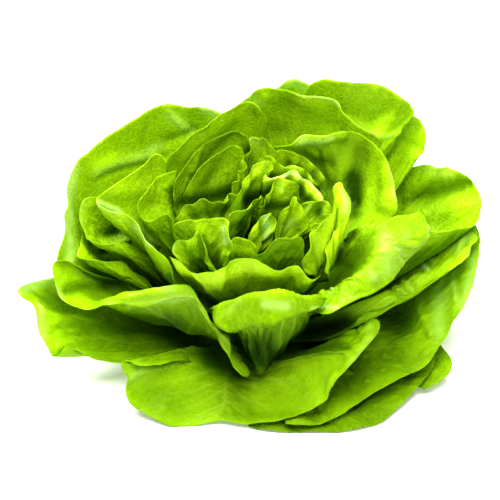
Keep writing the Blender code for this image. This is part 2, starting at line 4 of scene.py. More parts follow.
import bpy
import numpy as np
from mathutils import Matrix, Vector

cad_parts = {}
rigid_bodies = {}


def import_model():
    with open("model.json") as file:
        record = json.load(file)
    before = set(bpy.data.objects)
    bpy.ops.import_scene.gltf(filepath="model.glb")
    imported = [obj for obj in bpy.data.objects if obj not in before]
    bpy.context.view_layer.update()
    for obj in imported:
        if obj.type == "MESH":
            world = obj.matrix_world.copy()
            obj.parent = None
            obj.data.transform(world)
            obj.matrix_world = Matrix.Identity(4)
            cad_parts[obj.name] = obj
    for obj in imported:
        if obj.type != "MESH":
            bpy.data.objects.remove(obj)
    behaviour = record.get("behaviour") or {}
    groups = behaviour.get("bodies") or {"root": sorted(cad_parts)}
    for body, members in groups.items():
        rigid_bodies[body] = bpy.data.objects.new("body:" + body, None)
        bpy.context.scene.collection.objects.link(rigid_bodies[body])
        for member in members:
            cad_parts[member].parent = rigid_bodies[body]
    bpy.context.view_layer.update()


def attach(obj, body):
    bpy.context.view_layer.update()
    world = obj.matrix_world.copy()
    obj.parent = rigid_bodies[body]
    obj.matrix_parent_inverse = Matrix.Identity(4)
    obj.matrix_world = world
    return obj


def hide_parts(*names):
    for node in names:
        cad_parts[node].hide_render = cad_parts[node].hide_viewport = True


# The looks of a head of butterhead lettuce: each leaf of the frame is replaced
# by a fine leaf laid out by the same rules, with ribs, veins, puckers and rims.

WORLD = 0.42
LAMPS = [
    ("key", (-0.30, 0.52, 1.60), (0.0, 0.0, 0.06), 0.9, 60.5),
    ("fill", (0.10, -0.55, 1.65), (0.0, 0.0, 0.06), 1.0, 44.0),
]

TH = 1.0
GAP = 2.0
EYE = 10.0
FLOOR = 1.1
LOW_BASE = 7.5
HIGH_BASE = 44.0
JOINT_STEP = 2.2
NU, NV = 48, 20
NT, NR, DR = 180, 75, 2.0

LEAN = math.radians(40.0)      # drafting plane: how far its lines of sight look down
SQUARE = 0.56                  # one square of the drafting plane, mm
FOOT = (250.0, 350.0)          # the stem's foot on the drafting plane
STEM = [(0.0, 14.5), (3.0, 15.5), (10.0, 16.0), (20.0, 14.5), (30.0, 12.0), (40.0, 9.0), (48.0, 5.5), (52.0, 2.0)]  # (height, radius)
STEM_TOP = 52.0
CLEAR = 0.35


def D(gx, gy, z):
    x = (gx - FOOT[0]) * SQUARE
    q = (FOOT[1] - gy) * SQUARE
    return (x, (q - z * math.cos(LEAN)) / math.sin(LEAN), z)


def C(az, r, z):
    a = math.radians(az)
    return (r * math.cos(a), r * math.sin(a), z)


def stem_radius(z):
    zs = [s[0] for s in STEM]
    rs = [s[1] for s in STEM]
    return np.interp(z, zs, rs)


def spline(t, pts, tt):
    """Natural cubic spline through pts at t, read at tt."""
    t = np.asarray(t, float)
    pts = np.asarray(pts, float)
    n = len(t)
    if n == 2:
        w = ((tt - t[0]) / (t[1] - t[0]))[:, None]
        return pts[0] * (1 - w) + pts[1] * w
    h = np.diff(t)
    A = np.zeros((n, n))
    R = np.zeros((n, pts.shape[1]))
    A[0, 0] = A[-1, -1] = 1
    for i in range(1, n - 1):
        A[i, i - 1], A[i, i], A[i, i + 1] = h[i - 1], 2 * (h[i - 1] + h[i]), h[i]
        R[i] = 6 * ((pts[i + 1] - pts[i]) / h[i] - (pts[i] - pts[i - 1]) / h[i - 1])
    M = np.linalg.solve(A, R)
    k = np.clip(np.searchsorted(t, tt, side="right") - 1, 0, n - 2)
    d = (tt - t[k])[:, None]
    e = (t[k + 1] - tt)[:, None]
    hk = h[k][:, None]
    return (M[k] * e**3 + M[k + 1] * d**3) / (6 * hk) + (pts[k] / hk - M[k] * hk / 6) * e + (pts[k + 1] / hk - M[k + 1] * hk / 6) * d


def chord(pts):
    pts = np.asarray(pts, float)
    s = np.concatenate([[0], np.cumsum(np.linalg.norm(np.diff(pts, axis=0), axis=1) ** 0.75)])
    return s / s[-1]


def even(pts, n):
    """n points spaced evenly along a smooth curve through pts."""
    pts = np.asarray(pts, float)
    fine = spline(chord(pts), pts, np.linspace(0, 1, 40 * len(pts)))
    s = np.concatenate([[0], np.cumsum(np.linalg.norm(np.diff(fine, axis=0), axis=1))])
    at = np.linspace(0, s[-1], n)
    return np.stack([np.interp(at, s, fine[:, k]) for k in range(3)], axis=1)


def ccw(pts):
    a = np.unwrap([math.atan2(p[1], p[0]) for p in pts])
    return a[-1] > a[0]


# name, base azimuth, rim points, options
LEAVES = [
 ("outer_back_low", 116, [C(68,86,16),C(78,102,23),C(88,114,29),C(99,121,32),C(110,124,36),C(121,121,34),C(132,117,35),C(143,108,30),C(153,98,26),C(163,84,18)], dict(eps=-20,k=.52)),
 ("outer_back_right_low", 46, [C(4,84,20),C(14,100,26),C(25,110,30),C(36,114,35),C(47,117,33),C(58,116,36),C(68,111,31),C(77,102,27),C(86,88,20)], dict(eps=-18,k=.52)),
 ("outer_right_low", -18, [C(-50,78,3),D(418,386,6),D(427,386,8),D(438,381,9),D(448,372,12),D(451,362,14),D(447,354,15),D(440,345,16),C(2,100,20),C(14,90,26)], dict(eps=-2,k=.5)),
 ("outer_front_right", -52, [D(248,424,2),D(262,428,1.5),D(280,430,1.2),D(300,430,1.2),D(325,430,1.2),D(350,429,1.2),D(366,425,1.5),D(379,420,2.5),D(392,411,4),D(404,400,6),D(418,386,9),D(428,373,12),D(434,360,16),D(432,348,20)], dict(eps=-3,k=.5)),
 ("outer_left", 192, [D(165,368,14),D(140,364,20),D(121,361,25),D(105,360,27),D(92,357,29),D(80,350,33),D(70,347,35),D(62,352,33),D(56,357,30),D(50,350,33),D(45,340,37),D(40,325,42),D(36,310,46),D(25,299,50),D(18,290,53),D(30,282,57),D(50,274,60),D(66,268,61),D(85,262,58),D(100,258,50)], dict(eps=2,k=.5)),
 ("outer_back", 80, [C(40,90,74),C(50,96,98),C(58,98,110),D(308,83,123),D(300,80,125),D(292,79,126),D(284,82,125),D(277,88,121),C(90,88,104),C(100,90,90),C(110,91,80),C(120,86,64)], dict(eps=4,k=.55)),
 ("right_front", -28, [D(285,420,8),D(310,424,6),D(325,420,7),D(340,413,9),D(357,404,11),D(372,393,14),D(386,386,16),D(400,379,18),D(415,370,20),D(428,360,23),D(437,349,27),D(444,337,31),D(450,325,35),D(460,311,40),D(469,295,46),D(475,278,52),D(479,258,58),D(479,240,62),D(476,226,64),D(462,220,60),D(440,222,52)], dict(eps=3,k=.5)),
 ("back_left", 142, [D(80,272,60),D(73,262,70),D(70,248,78),D(69,228,86),D(69,204,94),D(71,180,102),D(76,164,106),D(86,153,108),D(96,146,110),D(118,129,113),D(143,113,116),D(157,107,117),D(169,105,117),D(185,107,116),D(204,108,114),D(221,113,110),D(233,122,100)], dict(eps=5,k=.55)),
 ("front", -108, [D(205,356,20),D(185,357,27),D(160,360,31),D(140,361,33),D(121,360,34),D(123,370,28),D(129,379,23),D(128,390,17),D(130,400,12),D(137,407,8),D(150,415,4.5),D(166,423,1.5),D(183,424,1.2),D(205,422,2),D(222,419,4),D(240,421,4.5),D(260,421,6.5),D(280,417,9.5),D(300,412,13),D(316,406,18),D(326,396,24),D(336,380,32),D(349,363,39),D(362,347,46),D(373,335,51),D(377,324,55),D(374,316,57),D(360,318,52)],
   dict(eps=10,k=.5,mids=[(.6,[(0,D(222,350,16)),(.19,D(170,352,24)),(.40,D(200,378,14)),(.52,D(232,378,12)),(.62,D(255,370,14)),(.75,D(300,355,32)),(.87,D(330,350,43)),(1,D(350,330,46))])])),
 ("right", -15, [D(345,332,38),D(352,327,44),D(362,321,50),D(380,311,54),D(400,299,57),D(420,288,60),D(440,277,62),D(455,268,64),D(466,257,66),D(473,245,68),D(475,234,69),D(466,226,68),D(450,222,62),D(432,222,54)], dict(eps=12,k=.5)),
 ("right_back", 20, [D(412,238,62),D(420,233,68),D(432,231,72),D(450,230,74),D(466,229,73),D(476,224,73),D(481,213,75),D(481,200,79),D(476,188,83),D(467,176,87),D(456,169,89),D(445,166,90),D(437,167,90),D(425,162,92),D(410,161,92),D(397,164,90),D(388,170,82)], dict(eps=10,k=.6)),
 ("back_right_upper", 62, [D(398,142,86),D(408,128,98),D(414,116,106),D(409,105,112),D(400,97,116),D(388,90,120),D(378,86,123),D(360,84,126),D(345,82,128),D(330,79,129),D(318,81,128),D(311,84,126),D(306,90,122),D(298,102,110)], dict(eps=12,k=.55)),
 ("back_right", 42, [D(402,168,78),D(412,166,84),D(421,163,89),D(426,155,93),D(428,145,98),D(425,131,104),D(420,121,108),D(415,118,110),D(405,126,111),D(393,134,110),D(382,141,106)], dict(eps=16,k=.55)),
 ("left_front", -137, [D(127,275,58),D(112,271,62),D(98,268,66),D(80,267,66),D(64,270,65),D(50,277,62),D(42,283,60),D(48,290,59),D(58,298,58),D(72,306,58),D(88,309,60),D(105,306,62),D(122,303,64),D(140,306,63),D(155,304,65),D(170,299,70),D(180,297,73),D(192,297,75),D(202,301,74),D(208,309,69),D(213,320,62),D(219,329,57),D(228,334,55),D(231,345,51),D(230,357,46),D(236,367,42),D(244,373,37),D(250,369,30)],
   dict(eps=20,k=.5,mids=[(.8,[(0,D(140,285,50)),(.2,D(88,284,50)),(.39,D(97,301,52)),(.49,D(128,294,66)),(.58,D(155,288,72)),(.69,D(190,286,79)),(.82,D(210,314,62)),(1,D(240,345,34))])])),
 ("left_low", 178, [C(152,60,54),C(158,78,62),C(165,91,66),C(172,97,68),D(76,255,68),D(75,262,67),D(90,261,69),D(105,258,71),D(120,255,72),D(134,253,71),C(186,52,60)], dict(eps=18,k=.5)),
 ("left_mid", 176, [C(148,64,72),C(158,84,84),D(85,200,88),D(81,210,85),D(80,222,81),D(84,235,78),D(92,244,76),D(104,248,76),D(118,245,78),D(131,238,79),C(182,54,70)], dict(eps=24,k=.55)),
 ("back_top", 80, [D(388,145,98),D(370,133,111),D(360,128,114),D(350,121,117),D(342,111,121),D(338,103,124),D(328,99,126),D(312,97,128),D(296,95,130),D(282,90,131),D(270,89,131),D(258,91,130),D(248,98,127),D(240,103,124),D(232,112,116),D(225,127,102)], dict(eps=26,k=.55)),
 ("right_mid", -25, [D(308,300,68),D(322,308,75),D(335,307,77),D(350,301,78),D(365,295,78),D(380,287,79),D(393,275,80),D(404,263,82),D(415,251,84),D(424,242,85),D(428,231,86),D(426,220,87),D(420,211,89),D(405,215,91),D(390,218,92),D(375,221,91),D(362,226,88),D(350,231,84),D(341,240,76)],
   dict(eps=30,k=.5,mids=[(.68,[(0,D(320,292,62)),(.25,D(345,280,82)),(.5,D(372,255,89)),(.75,D(372,235,91)),(1,D(342,245,70))])])),
 ("front_mid", -88, [D(209,312,64),D(214,320,66),D(222,328,66),D(232,331,64),D(242,328,66),D(250,325,69),D(262,327,69),D(272,325,70),D(282,319,73),D(292,315,75),D(303,311,76),D(318,309,75),D(330,308,70)],
   dict(eps=0,k=.5,mids=[(.42,[(0,D(232,342,34)),(.25,D(246,362,25)),(.45,D(258,371,21)),(.7,D(280,354,28)),(1,D(302,328,42))]),
     (.64,[(0,D(222,328,52)),(.3,D(246,338,50)),(.55,D(266,340,51)),(.8,D(290,328,56)),(1,D(310,316,58))]),
     (.85,[(0,D(213,311,70)),(.2,D(225,301,78)),(.4,D(245,296,84)),(.6,D(272,291,87)),(.8,D(296,295,84)),(1,D(318,302,76))])])),
 ("left_inner", 175, [D(176,174,92),D(168,160,103),D(160,154,106),D(150,162,106),D(138,169,105),D(125,178,104),D(110,190,102),D(96,203,98),D(103,208,97),D(115,213,96),D(128,219,95),D(140,233,94),D(150,242,94),D(160,249,94),D(170,255,92),D(174,265,86),D(178,283,74),D(181,294,62)], dict(eps=34,k=.6)),
 ("back_left_inner", 115, [D(256,155,92),D(263,135,108),D(264,118,118),D(260,108,124),D(250,103,126),D(238,106,125),D(223,114,124),D(210,122,122),D(198,131,119),D(186,142,115),D(175,152,111),D(168,160,106),D(166,172,96)], dict(eps=38,k=.6)),
 ("back_right_inner", 45, [D(358,228,66),D(368,222,76),D(382,218,80),D(394,215,84),D(397,207,88),D(395,190,93),D(393,175,97),D(389,161,101),D(382,151,105),D(373,143,108),D(362,137,112),D(352,134,114),D(340,133,116),D(320,134,117),D(300,136,116),D(288,142,114),D(277,146,111),D(268,150,104)], dict(eps=38,k=.6)),
 ("left_inner_low", 163, [D(174,170,98),D(158,178,102),D(146,192,100),D(138,204,97),D(141,213,94),D(150,221,90),D(158,217,92),D(166,214,94),D(173,218,93),D(176,229,86)], dict(eps=46,k=.55)),
 ("back_left_mid", 128, [D(172,196,94),D(177,182,100),D(184,171,104),D(190,161,107),D(195,152,109),D(203,145,111),D(214,140,113),D(226,136,115),D(238,134,115),D(247,138,112),D(252,150,106)], dict(eps=44,k=.6)),
 ("back_inner", 120, [D(184,198,92),D(189,186,97),D(195,174,101),D(204,164,104),D(214,156,106),D(225,150,107),D(235,146,107),D(243,150,104),D(246,162,98)], dict(eps=50,k=.6)),
 ("heart_frill", 84, [D(228,196,90),D(236,184,98),D(241,174,104),D(246,163,109),D(246,152,114),D(251,143,118),D(256,139,119),D(262,142,117),D(268,146,114),D(276,149,111),D(285,148,110),D(293,152,108),D(303,158,104),D(314,166,100),D(324,178,92)], dict(eps=54,k=.6)),
 ("heart_front", -92, [D(172,264,86),D(173,256,96),D(182,263,95),D(192,270,93),D(202,273,91),D(212,272,93),D(221,267,96),D(231,261,99),D(245,258,101),D(258,260,102),D(270,266,98),D(280,270,95),D(288,267,97),D(294,265,98),D(301,270,96),D(309,277,92),D(320,275,88)], dict(eps=44,k=.5)),
 ("heart_back_right", 64, [D(254,172,98),D(259,160,104),D(265,154,107),D(272,153,107),D(279,160,104),D(284,165,103),D(292,166,104),D(301,170,103),D(310,175,100),D(318,183,97),D(326,194,90)], dict(eps=62,k=.55)),
 ("heart_left_curl", 226, [D(178,268,86),D(173,256,94),D(174,246,99),D(181,240,102),D(191,237,104),D(199,230,106),D(203,240,102),D(204,252,97),D(209,262,90),D(214,270,84)], dict(eps=62,k=.5)),
 ("heart_left", 205, [D(174,238,90),D(177,225,101),D(186,221,103),D(196,222,104),D(208,219,106),D(220,218,108),D(228,220,108),D(230,232,105),D(229,246,101),D(228,260,92)], dict(eps=58,k=.55)),
 ("heart_right", -25, [D(303,272,78),D(301,261,87),D(306,248,93),D(311,235,98),D(320,224,102),D(331,214,106),D(333,199,112),D(338,182,118),D(346,195,114),D(350,210,107),D(341,221,101),D(329,237,95),D(325,252,89),D(322,270,80)], dict(eps=58,k=.5,mids=[(.5,[(0,D(309,284,64)),(.5,D(314,280,66)),(1,D(319,283,64))])])),
 ("heart_left_back", 158, [D(176,222,88),D(181,212,97),D(187,206,101),D(196,202,103),D(206,200,104),D(216,203,102),D(226,203,101),D(235,199,101),D(242,197,96)], dict(eps=66,k=.5)),
 ("heart_back", 88, [D(216,214,86),D(224,204,94),D(230,196,99),D(237,189,102),D(242,180,105),D(248,172,107),D(255,164,109),D(263,160,110),D(271,161,109),D(272,168,106),D(268,175,103),D(276,176,102),D(284,172,104),D(291,170,105),D(298,173,104),D(303,180,101),D(312,185,99),D(320,193,97),D(327,203,95),D(332,214,88)], dict(eps=68,k=.55)),
 ("heart_front_right", -50, [D(250,266,82),D(257,256,92),D(263,251,96),D(271,246,99),D(282,239,101),D(293,238,101),D(302,242,97),D(305,254,88),D(304,264,80)], dict(eps=66,k=.5)),
 ("heart_front_left", -112, [D(230,262,82),D(231,248,92),D(234,240,96),D(243,239,97),D(250,243,95),D(256,250,91),D(258,260,82)], dict(eps=70,k=.5)),
 ("heart_core_left", 172, [D(226,240,84),D(227,228,92),D(229,219,97),D(236,214,99),D(243,212,100),D(249,206,101),D(256,201,101),D(259,208,92)], dict(eps=74,k=.45)),
 ("heart_curl", 5, [D(305,228,86),D(303,214,96),D(304,205,101),D(311,201,103),D(321,200,104),D(329,204,103),D(332,213,100),D(328,221,97),D(320,224,93),D(314,221,90)], dict(eps=74,k=.45)),
 ("heart_inner_back", 72, [D(258,204,88),D(266,199,96),D(271,191,101),D(273,184,104),D(284,180,105),D(294,182,104),D(300,190,99),D(303,200,90)], dict(eps=76,k=.45)),
 ("heart_inner_right", -20, [D(276,240,84),D(276,226,94),D(281,214,101),D(288,206,105),D(296,198,108),D(299,208,104),D(305,214,101),D(305,222,97),D(300,231,92),D(292,238,84)], dict(eps=80,k=.4)),
 ("heart_inner_left", 196, [D(262,246,82),D(261,234,91),D(261,222,98),D(266,214,102),D(271,211,103),D(275,220,99),D(274,234,90),D(272,244,82)], dict(eps=82,k=.4)),
]

N = len(LEAVES)


def spread_of(i):
    """Half the width of a leaf's joint, degrees round the stem."""
    return LEAVES[i][3].get("spread", 22 + 12 * i / (N - 1))


def base_heights():
    """Joint heights climb the stem from the outermost leaf to the heart, with
    room between any two joints that share a side of the stem."""
    z = []
    for i in range(N):
        low = LOW_BASE + (HIGH_BASE - LOW_BASE) * (i / (N - 1)) ** 0.9
        for j in range(i):
            d = abs((LEAVES[i][1] - LEAVES[j][1] + 180) % 360 - 180)
            if d < spread_of(i) + spread_of(j) + 3:
                low = max(low, z[j] + JOINT_STEP)
        z.append(low)
    return z


BASE = base_heights()


def blank(i):
    name, az, pts, opt = LEAVES[i]
    eps = math.radians(opt["eps"])
    k = opt["k"]
    rim = even(pts, NU + 1)
    a = math.radians(az)
    left = np.array([-math.sin(a), math.cos(a), 0.0])
    flip = float(np.dot(np.array(pts[-1]) - np.array(pts[0]), left)) < 0
    mids = opt.get("mids", [])
    Ms = [spline([m[0] for m in mp], [m[1] for m in mp], np.linspace(0, 1, NU + 1)) for vm, mp in mids]
    if flip:
        rim = rim[::-1].copy()
        Ms = [M[::-1].copy() for M in Ms]
    u = np.linspace(0, 1, NU + 1)
    zb = BASE[i]
    rb = float(stem_radius(zb)) + CLEAR + TH / 2 + 0.1
    spread = math.radians(spread_of(i))
    ab = a + (2 * u - 1) * spread
    B = np.stack([rb * np.cos(ab), rb * np.sin(ab), np.full_like(u, zb)], axis=1)
    # direction each line sets off in
    to = rim - B
    ra = np.arctan2(to[:, 1], to[:, 0])
    d = (ra - ab + math.pi) % (2 * math.pi) - math.pi
    rr = np.hypot(to[:, 0], to[:, 1])
    w = 0.5 * np.clip(rr / 40.0, 0, 1)
    da = ab + np.clip(d, -1.6, 1.6) * w
    dirs = np.stack([np.cos(da) * math.cos(eps), np.sin(da) * math.cos(eps), np.full_like(u, math.sin(eps))], axis=1)
    v = np.linspace(0, 1, NV + 1)
    P = np.zeros((NU + 1, NV + 1, 3))
    if not mids:
        L = np.linalg.norm(rim - B, axis=1)[:, None]
        P1 = B + k * L * dirs
        for j, t in enumerate(v):
            P[:, j] = (1 - t) ** 2 * B + 2 * t * (1 - t) * P1 + t * t * rim
    else:
        L = np.linalg.norm(Ms[0] - B, axis=1)[:, None]
        P1 = B + k * L * dirs
        Q = 0.25 * B + 0.5 * P1 + 0.25 * Ms[0]
        at = [0, mids[0][0] / 2] + [m[0] for m in mids] + [1]
        for c in range(NU + 1):
            P[c] = spline(at, [B[c], Q[c]] + [M[c] for M in Ms] + [rim[c]], v)
    return P


def polar(P):
    d = P - np.array([0, 0, EYE])
    rho = np.linalg.norm(d, axis=-1)
    th = np.arctan2(d[..., 1], d[..., 0])
    psi = np.arccos(np.clip(d[..., 2] / rho, -1, 1))
    return th, rho, psi


def unpolar(th, rho, psi):
    return np.stack([rho * np.sin(psi) * np.cos(th), rho * np.sin(psi) * np.sin(th), EYE + rho * np.cos(psi)], axis=-1)


def dense(G, f=3):
    """Bilinear refinement of a grid."""
    a, b = G.shape[:2]
    ua = np.linspace(0, a - 1, (a - 1) * f + 1)
    vb = np.linspace(0, b - 1, (b - 1) * f + 1)
    i0 = np.minimum(ua.astype(int), a - 2); fu = (ua - i0)[:, None, None]
    j0 = np.minimum(vb.astype(int), b - 2); fv = (vb - j0)[None, :, None]
    g = G
    A = g[i0][:, j0]; B_ = g[i0 + 1][:, j0]; C_ = g[i0][:, j0 + 1]; D_ = g[i0 + 1][:, j0 + 1]
    return A * (1 - fu) * (1 - fv) + B_ * fu * (1 - fv) + C_ * (1 - fu) * fv + D_ * fu * fv


def raster(P):
    th, rho, psi = polar(dense(P, 2).reshape(-1, 3))
    it = np.floor((th + math.pi) / (2 * math.pi) * NT).astype(int) % NT
    ir = np.clip((rho / DR).astype(int), 0, NR - 1)
    hi = np.full((NT, NR), -9.0)
    lo = np.full((NT, NR), 9.0)
    np.maximum.at(hi, (it, ir), psi)
    np.minimum.at(lo, (it, ir), psi)
    # grow by one cell
    h2 = hi.copy(); l2 = lo.copy()
    for dt in (-1, 0, 1):
        for dr in (-1, 0, 1):
            h = np.roll(hi, dt, axis=0); l = np.roll(lo, dt, axis=0)
            if dr:
                h = np.roll(h, dr, axis=1); l = np.roll(l, dr, axis=1)
                if dr == 1:
                    h[:, 0] = -9; l[:, 0] = 9
                else:
                    h[:, -1] = -9; l[:, -1] = 9
            h2 = np.maximum(h2, h); l2 = np.minimum(l2, l)
    return h2, l2


def blur(F, s):
    for axis in (0, 1):
        for _ in range(s):
            a = np.roll(F, 1, axis); b = np.roll(F, -1, axis)
            sl = [slice(None)] * 2
            sl[axis] = 0
            a[tuple(sl)] = F[tuple(sl)]
            sl[axis] = -1
            b[tuple(sl)] = F[tuple(sl)]
            F = 0.25 * a + 0.5 * F + 0.25 * b
    return F


def grow(F):
    G = F.copy()
    for axis in (0, 1):
        a = np.roll(G, 1, axis); b = np.roll(G, -1, axis)
        sl = [slice(None)] * 2
        sl[axis] = 0; a[tuple(sl)] = G[tuple(sl)]
        sl[axis] = -1; b[tuple(sl)] = G[tuple(sl)]
        G = np.maximum(G, np.maximum(a, b))
    return G


def relax(Ps, rounds=40, gap=GAP, verbose=False):
    """Leaves listed outermost first; slide each round the centre until they clear."""
    v = np.linspace(0, 1, NV + 1)
    hold = np.clip(v / 0.12, 0, 1)[None, :]
    base = [P.copy() for P in Ps]
    for it in range(rounds):
        hi = np.full((N, NT, NR), -9.0)
        lo = np.full((N, NT, NR), 9.0)
        for i, P in enumerate(Ps):
            hi[i], lo[i] = raster(P)
        # inner leaves come later in the list
        inner = np.full((N, NT, NR), -9.0)
        outer = np.full((N, NT, NR), 9.0)
        for i in range(N - 2, -1, -1):
            inner[i] = np.maximum(inner[i + 1], hi[i + 1])
        for i in range(1, N):
            outer[i] = np.minimum(outer[i - 1], lo[i - 1])
        tot = 0
        worst = 0
        for i, P in enumerate(Ps):
            th, rho, psi = polar(P)
            jt = np.floor((th + math.pi) / (2 * math.pi) * NT).astype(int) % NT
            jr = np.clip((rho / DR).astype(int), 0, NR - 1)
            g = gap / rho
            need_out = np.clip(inner[i][jt, jr] + g - psi, 0, 0.6)
            need_out[inner[i][jt, jr] < -5] = 0
            need_in = np.clip(psi + g - outer[i][jt, jr], 0, 0.6)
            need_in[outer[i][jt, jr] > 5] = 0
            tot += float((need_out * rho > 0.3).sum() + (need_in * rho > 0.3).sum())
            worst = max(worst, float((need_out * rho).max()))
            up = blur(grow(need_out), 3) * 0.5
            dn = blur(grow(need_in), 3) * 0.5
            psi2 = psi + (up - dn) * hold
            Q = unpolar(th, rho, psi2)
            low = Q[..., 2] < FLOOR
            if low.any():
                z = np.maximum(Q[..., 2], FLOOR)
                c = np.clip((z - EYE) / rho, -1, 1)
                Q = unpolar(th, rho, np.where(low, np.arccos(c), psi2))
            Ps[i] = Q
        if verbose and it % 5 == 0:
            print("round", it, "violations", int(tot), "worst", round(worst, 2))
    return Ps


def normals(P):
    du = np.gradient(P, axis=0)
    dv = np.gradient(P, axis=1)
    n = np.cross(du, dv)
    L = np.linalg.norm(n, axis=-1, keepdims=True)
    return n / np.maximum(L, 1e-9)




# ---------------------------------------------------------------- fine leaves
def lattice(ix, iy, iz, seed):
    h = (ix * 73856093) ^ (iy * 19349663) ^ (iz * 83492791) ^ (seed * 2654435761 % 4294967296)
    h = (h ^ (h >> 13)) * 1274126177
    h = h & 0xFFFFFFFF
    h = (h ^ (h >> 16)) & 0xFFFFFF
    return h / float(0xFFFFFF) * 2 - 1


def vnoise(p, seed=0):
    """Smooth noise in -1..1 at points p (..., 3), one cell per unit."""
    f = np.floor(p)
    i = f.astype(np.int64)
    t = p - f
    t = t * t * t * (t * (t * 6 - 15) + 10)
    out = 0
    for dx in (0, 1):
        wx = t[..., 0] if dx else 1 - t[..., 0]
        for dy in (0, 1):
            wy = t[..., 1] if dy else 1 - t[..., 1]
            for dz in (0, 1):
                wz = t[..., 2] if dz else 1 - t[..., 2]
                out = out + wx * wy * wz * lattice(i[..., 0] + dx, i[..., 1] + dy, i[..., 2] + dz, seed)
    return out


def fbm(p, seed=0, octaves=3):
    a, s, out = 1.0, 0.0, 0.0
    for k in range(octaves):
        out = out + a * vnoise(p * (2.03 ** k), seed + 17 * k)
        s += a
        a *= 0.5
    return out / s


def smooth(a, b, x):
    t = np.clip((x - a) / (b - a), 0, 1)
    return t * t * (3 - 2 * t)


def refine(G, nu, nv):
    """Smooth cubic refinement of a working sheet."""
    a, b = G.shape[:2]
    A = spline(np.linspace(0, 1, a), G.reshape(a, -1), np.linspace(0, 1, nu + 1)).reshape(nu + 1, b, 3)
    B = spline(np.linspace(0, 1, b), A.transpose(1, 0, 2).reshape(b, -1), np.linspace(0, 1, nv + 1)).reshape(nv + 1, nu + 1, 3)
    return B.transpose(1, 0, 2).copy()


def vein_lines(L, half, rng, heart):
    """Rib, side veins and their branches on the flat leaf, as (x0, y0, x1, y1, weight)."""
    segs = []

    def run(x, y, ang, turn, w0, w1, steps, ds, branches):
        drift = rng.uniform(-1, 1)
        for k in range(steps):
            t = k / max(steps - 1, 1)
            a = ang * (1 - turn * t) + 0.16 * math.sin(drift * 6 + k * 0.55)
            nx, ny = x + ds * math.sin(a), y + ds * math.cos(a)
            w = w0 + (w1 - w0) * t
            segs.append((x, y, nx, ny, w))
            r = math.hypot(nx, ny)
            if r > 0.985 * L or abs(math.atan2(nx, ny)) > half * 1.02:
                break
            if branches and k in branches:
                s = 1 if rng.rand() < 0.5 else -1
                run(nx, ny, a + s * rng.uniform(0.5, 0.8), 0.4, w * 0.62, w * 0.25, int(steps * 0.6), ds, ())
                run(nx, ny, a - s * rng.uniform(0.5, 0.8), 0.4, w * 0.5, w * 0.2, int(steps * 0.45), ds, ())
            x, y = nx, ny

    n = int(0.93 * L / 3.0)
    run(0.0, 0.0, 0.0, 0.0, 1.0, 0.3, n, 3.0, ())
    kk = 4 if heart else 6
    for side in (-1, 1):
        for k in range(kk):
            y0 = L * (0.06 + 0.80 * (k + 0.25 * rng.uniform(-1, 1) + (0.25 if side > 0 else 0)) / kk)
            ang = side * (min(half * 1.05, 1.1) * (1 - 0.35 * k / kk) + rng.uniform(-0.08, 0.08))
            m = max(3, int((L - y0) / 3.0 * 1.4))
            run(0.0, max(y0, 1.0), ang, 0.30, 0.62 - 0.04 * k, 0.16, m, 3.0, (m // 4, m // 2) if not heart else (m // 3,))
    return np.array(segs)


def vein_field(X, Y, segs):
    """Strength of the veins and distance to the nearest, at flat leaf points."""
    p = np.stack([X.ravel(), Y.ravel()], 1)
    a = segs[:, 0:2]
    d = segs[:, 2:4] - a
    dd = (d ** 2).sum(1)
    strength = np.zeros(len(p))
    near = np.full(len(p), 1e9)
    for c in range(0, len(p), 4000):
        q = p[c:c + 4000]
        t = np.clip(((q[:, None] - a[None]) * d[None]).sum(-1) / dd[None], 0, 1)
        e = np.linalg.norm(q[:, None] - (a[None] + t[..., None] * d[None]), axis=-1)
        w = segs[None, :, 4]
        strength[c:c + 4000] = (w * np.exp(-(e / (0.55 + 1.0 * w)) ** 2)).max(1)
        near[c:c + 4000] = (e / (0.5 + 0.8 * w)).min(1)
    return strength.reshape(X.shape), near.reshape(X.shape)


def pillows(X, Y, seed, g):
    """Puckered cushions between the net veins: height 0..1 and edge 0..1."""
    z = np.zeros_like(X)
    wx = X + 0.35 * g * vnoise(np.stack([X / g * 0.8, Y / g * 0.8, z + 3.1], -1), seed + 5)
    wy = Y + 0.35 * g * vnoise(np.stack([X / g * 0.8, Y / g * 0.8, z + 8.7], -1), seed + 9)
    cx, cy = np.floor(wx / g).astype(np.int64), np.floor(wy / g).astype(np.int64)
    f1 = np.full(X.shape, 1e9)
    f2 = np.full(X.shape, 1e9)
    h1 = np.zeros(X.shape)
    for dx in (-1, 0, 1):
        for dy in (-1, 0, 1):
            ix, iy = cx + dx, cy + dy
            px = (ix + 0.5 + 0.38 * lattice(ix, iy, ix * 0 + 1, seed)) * g
            py = (iy + 0.5 + 0.38 * lattice(ix, iy, ix * 0 + 2, seed)) * g
            d = np.hypot(wx - px, wy - py)
            hh = 0.5 + 0.5 * lattice(ix, iy, ix * 0 + 3, seed)
            closer = d < f1
            f2 = np.where(closer, f1, np.minimum(f2, d))
            h1 = np.where(closer, hh, h1)
            f1 = np.where(closer, d, f1)
    e = np.clip((f2 - f1) / (0.75 * g), 0, 1)
    return np.sin(e * math.pi / 2) ** 0.8 * (0.35 + 0.65 * h1), 1 - smooth(0.0, 0.22, e)


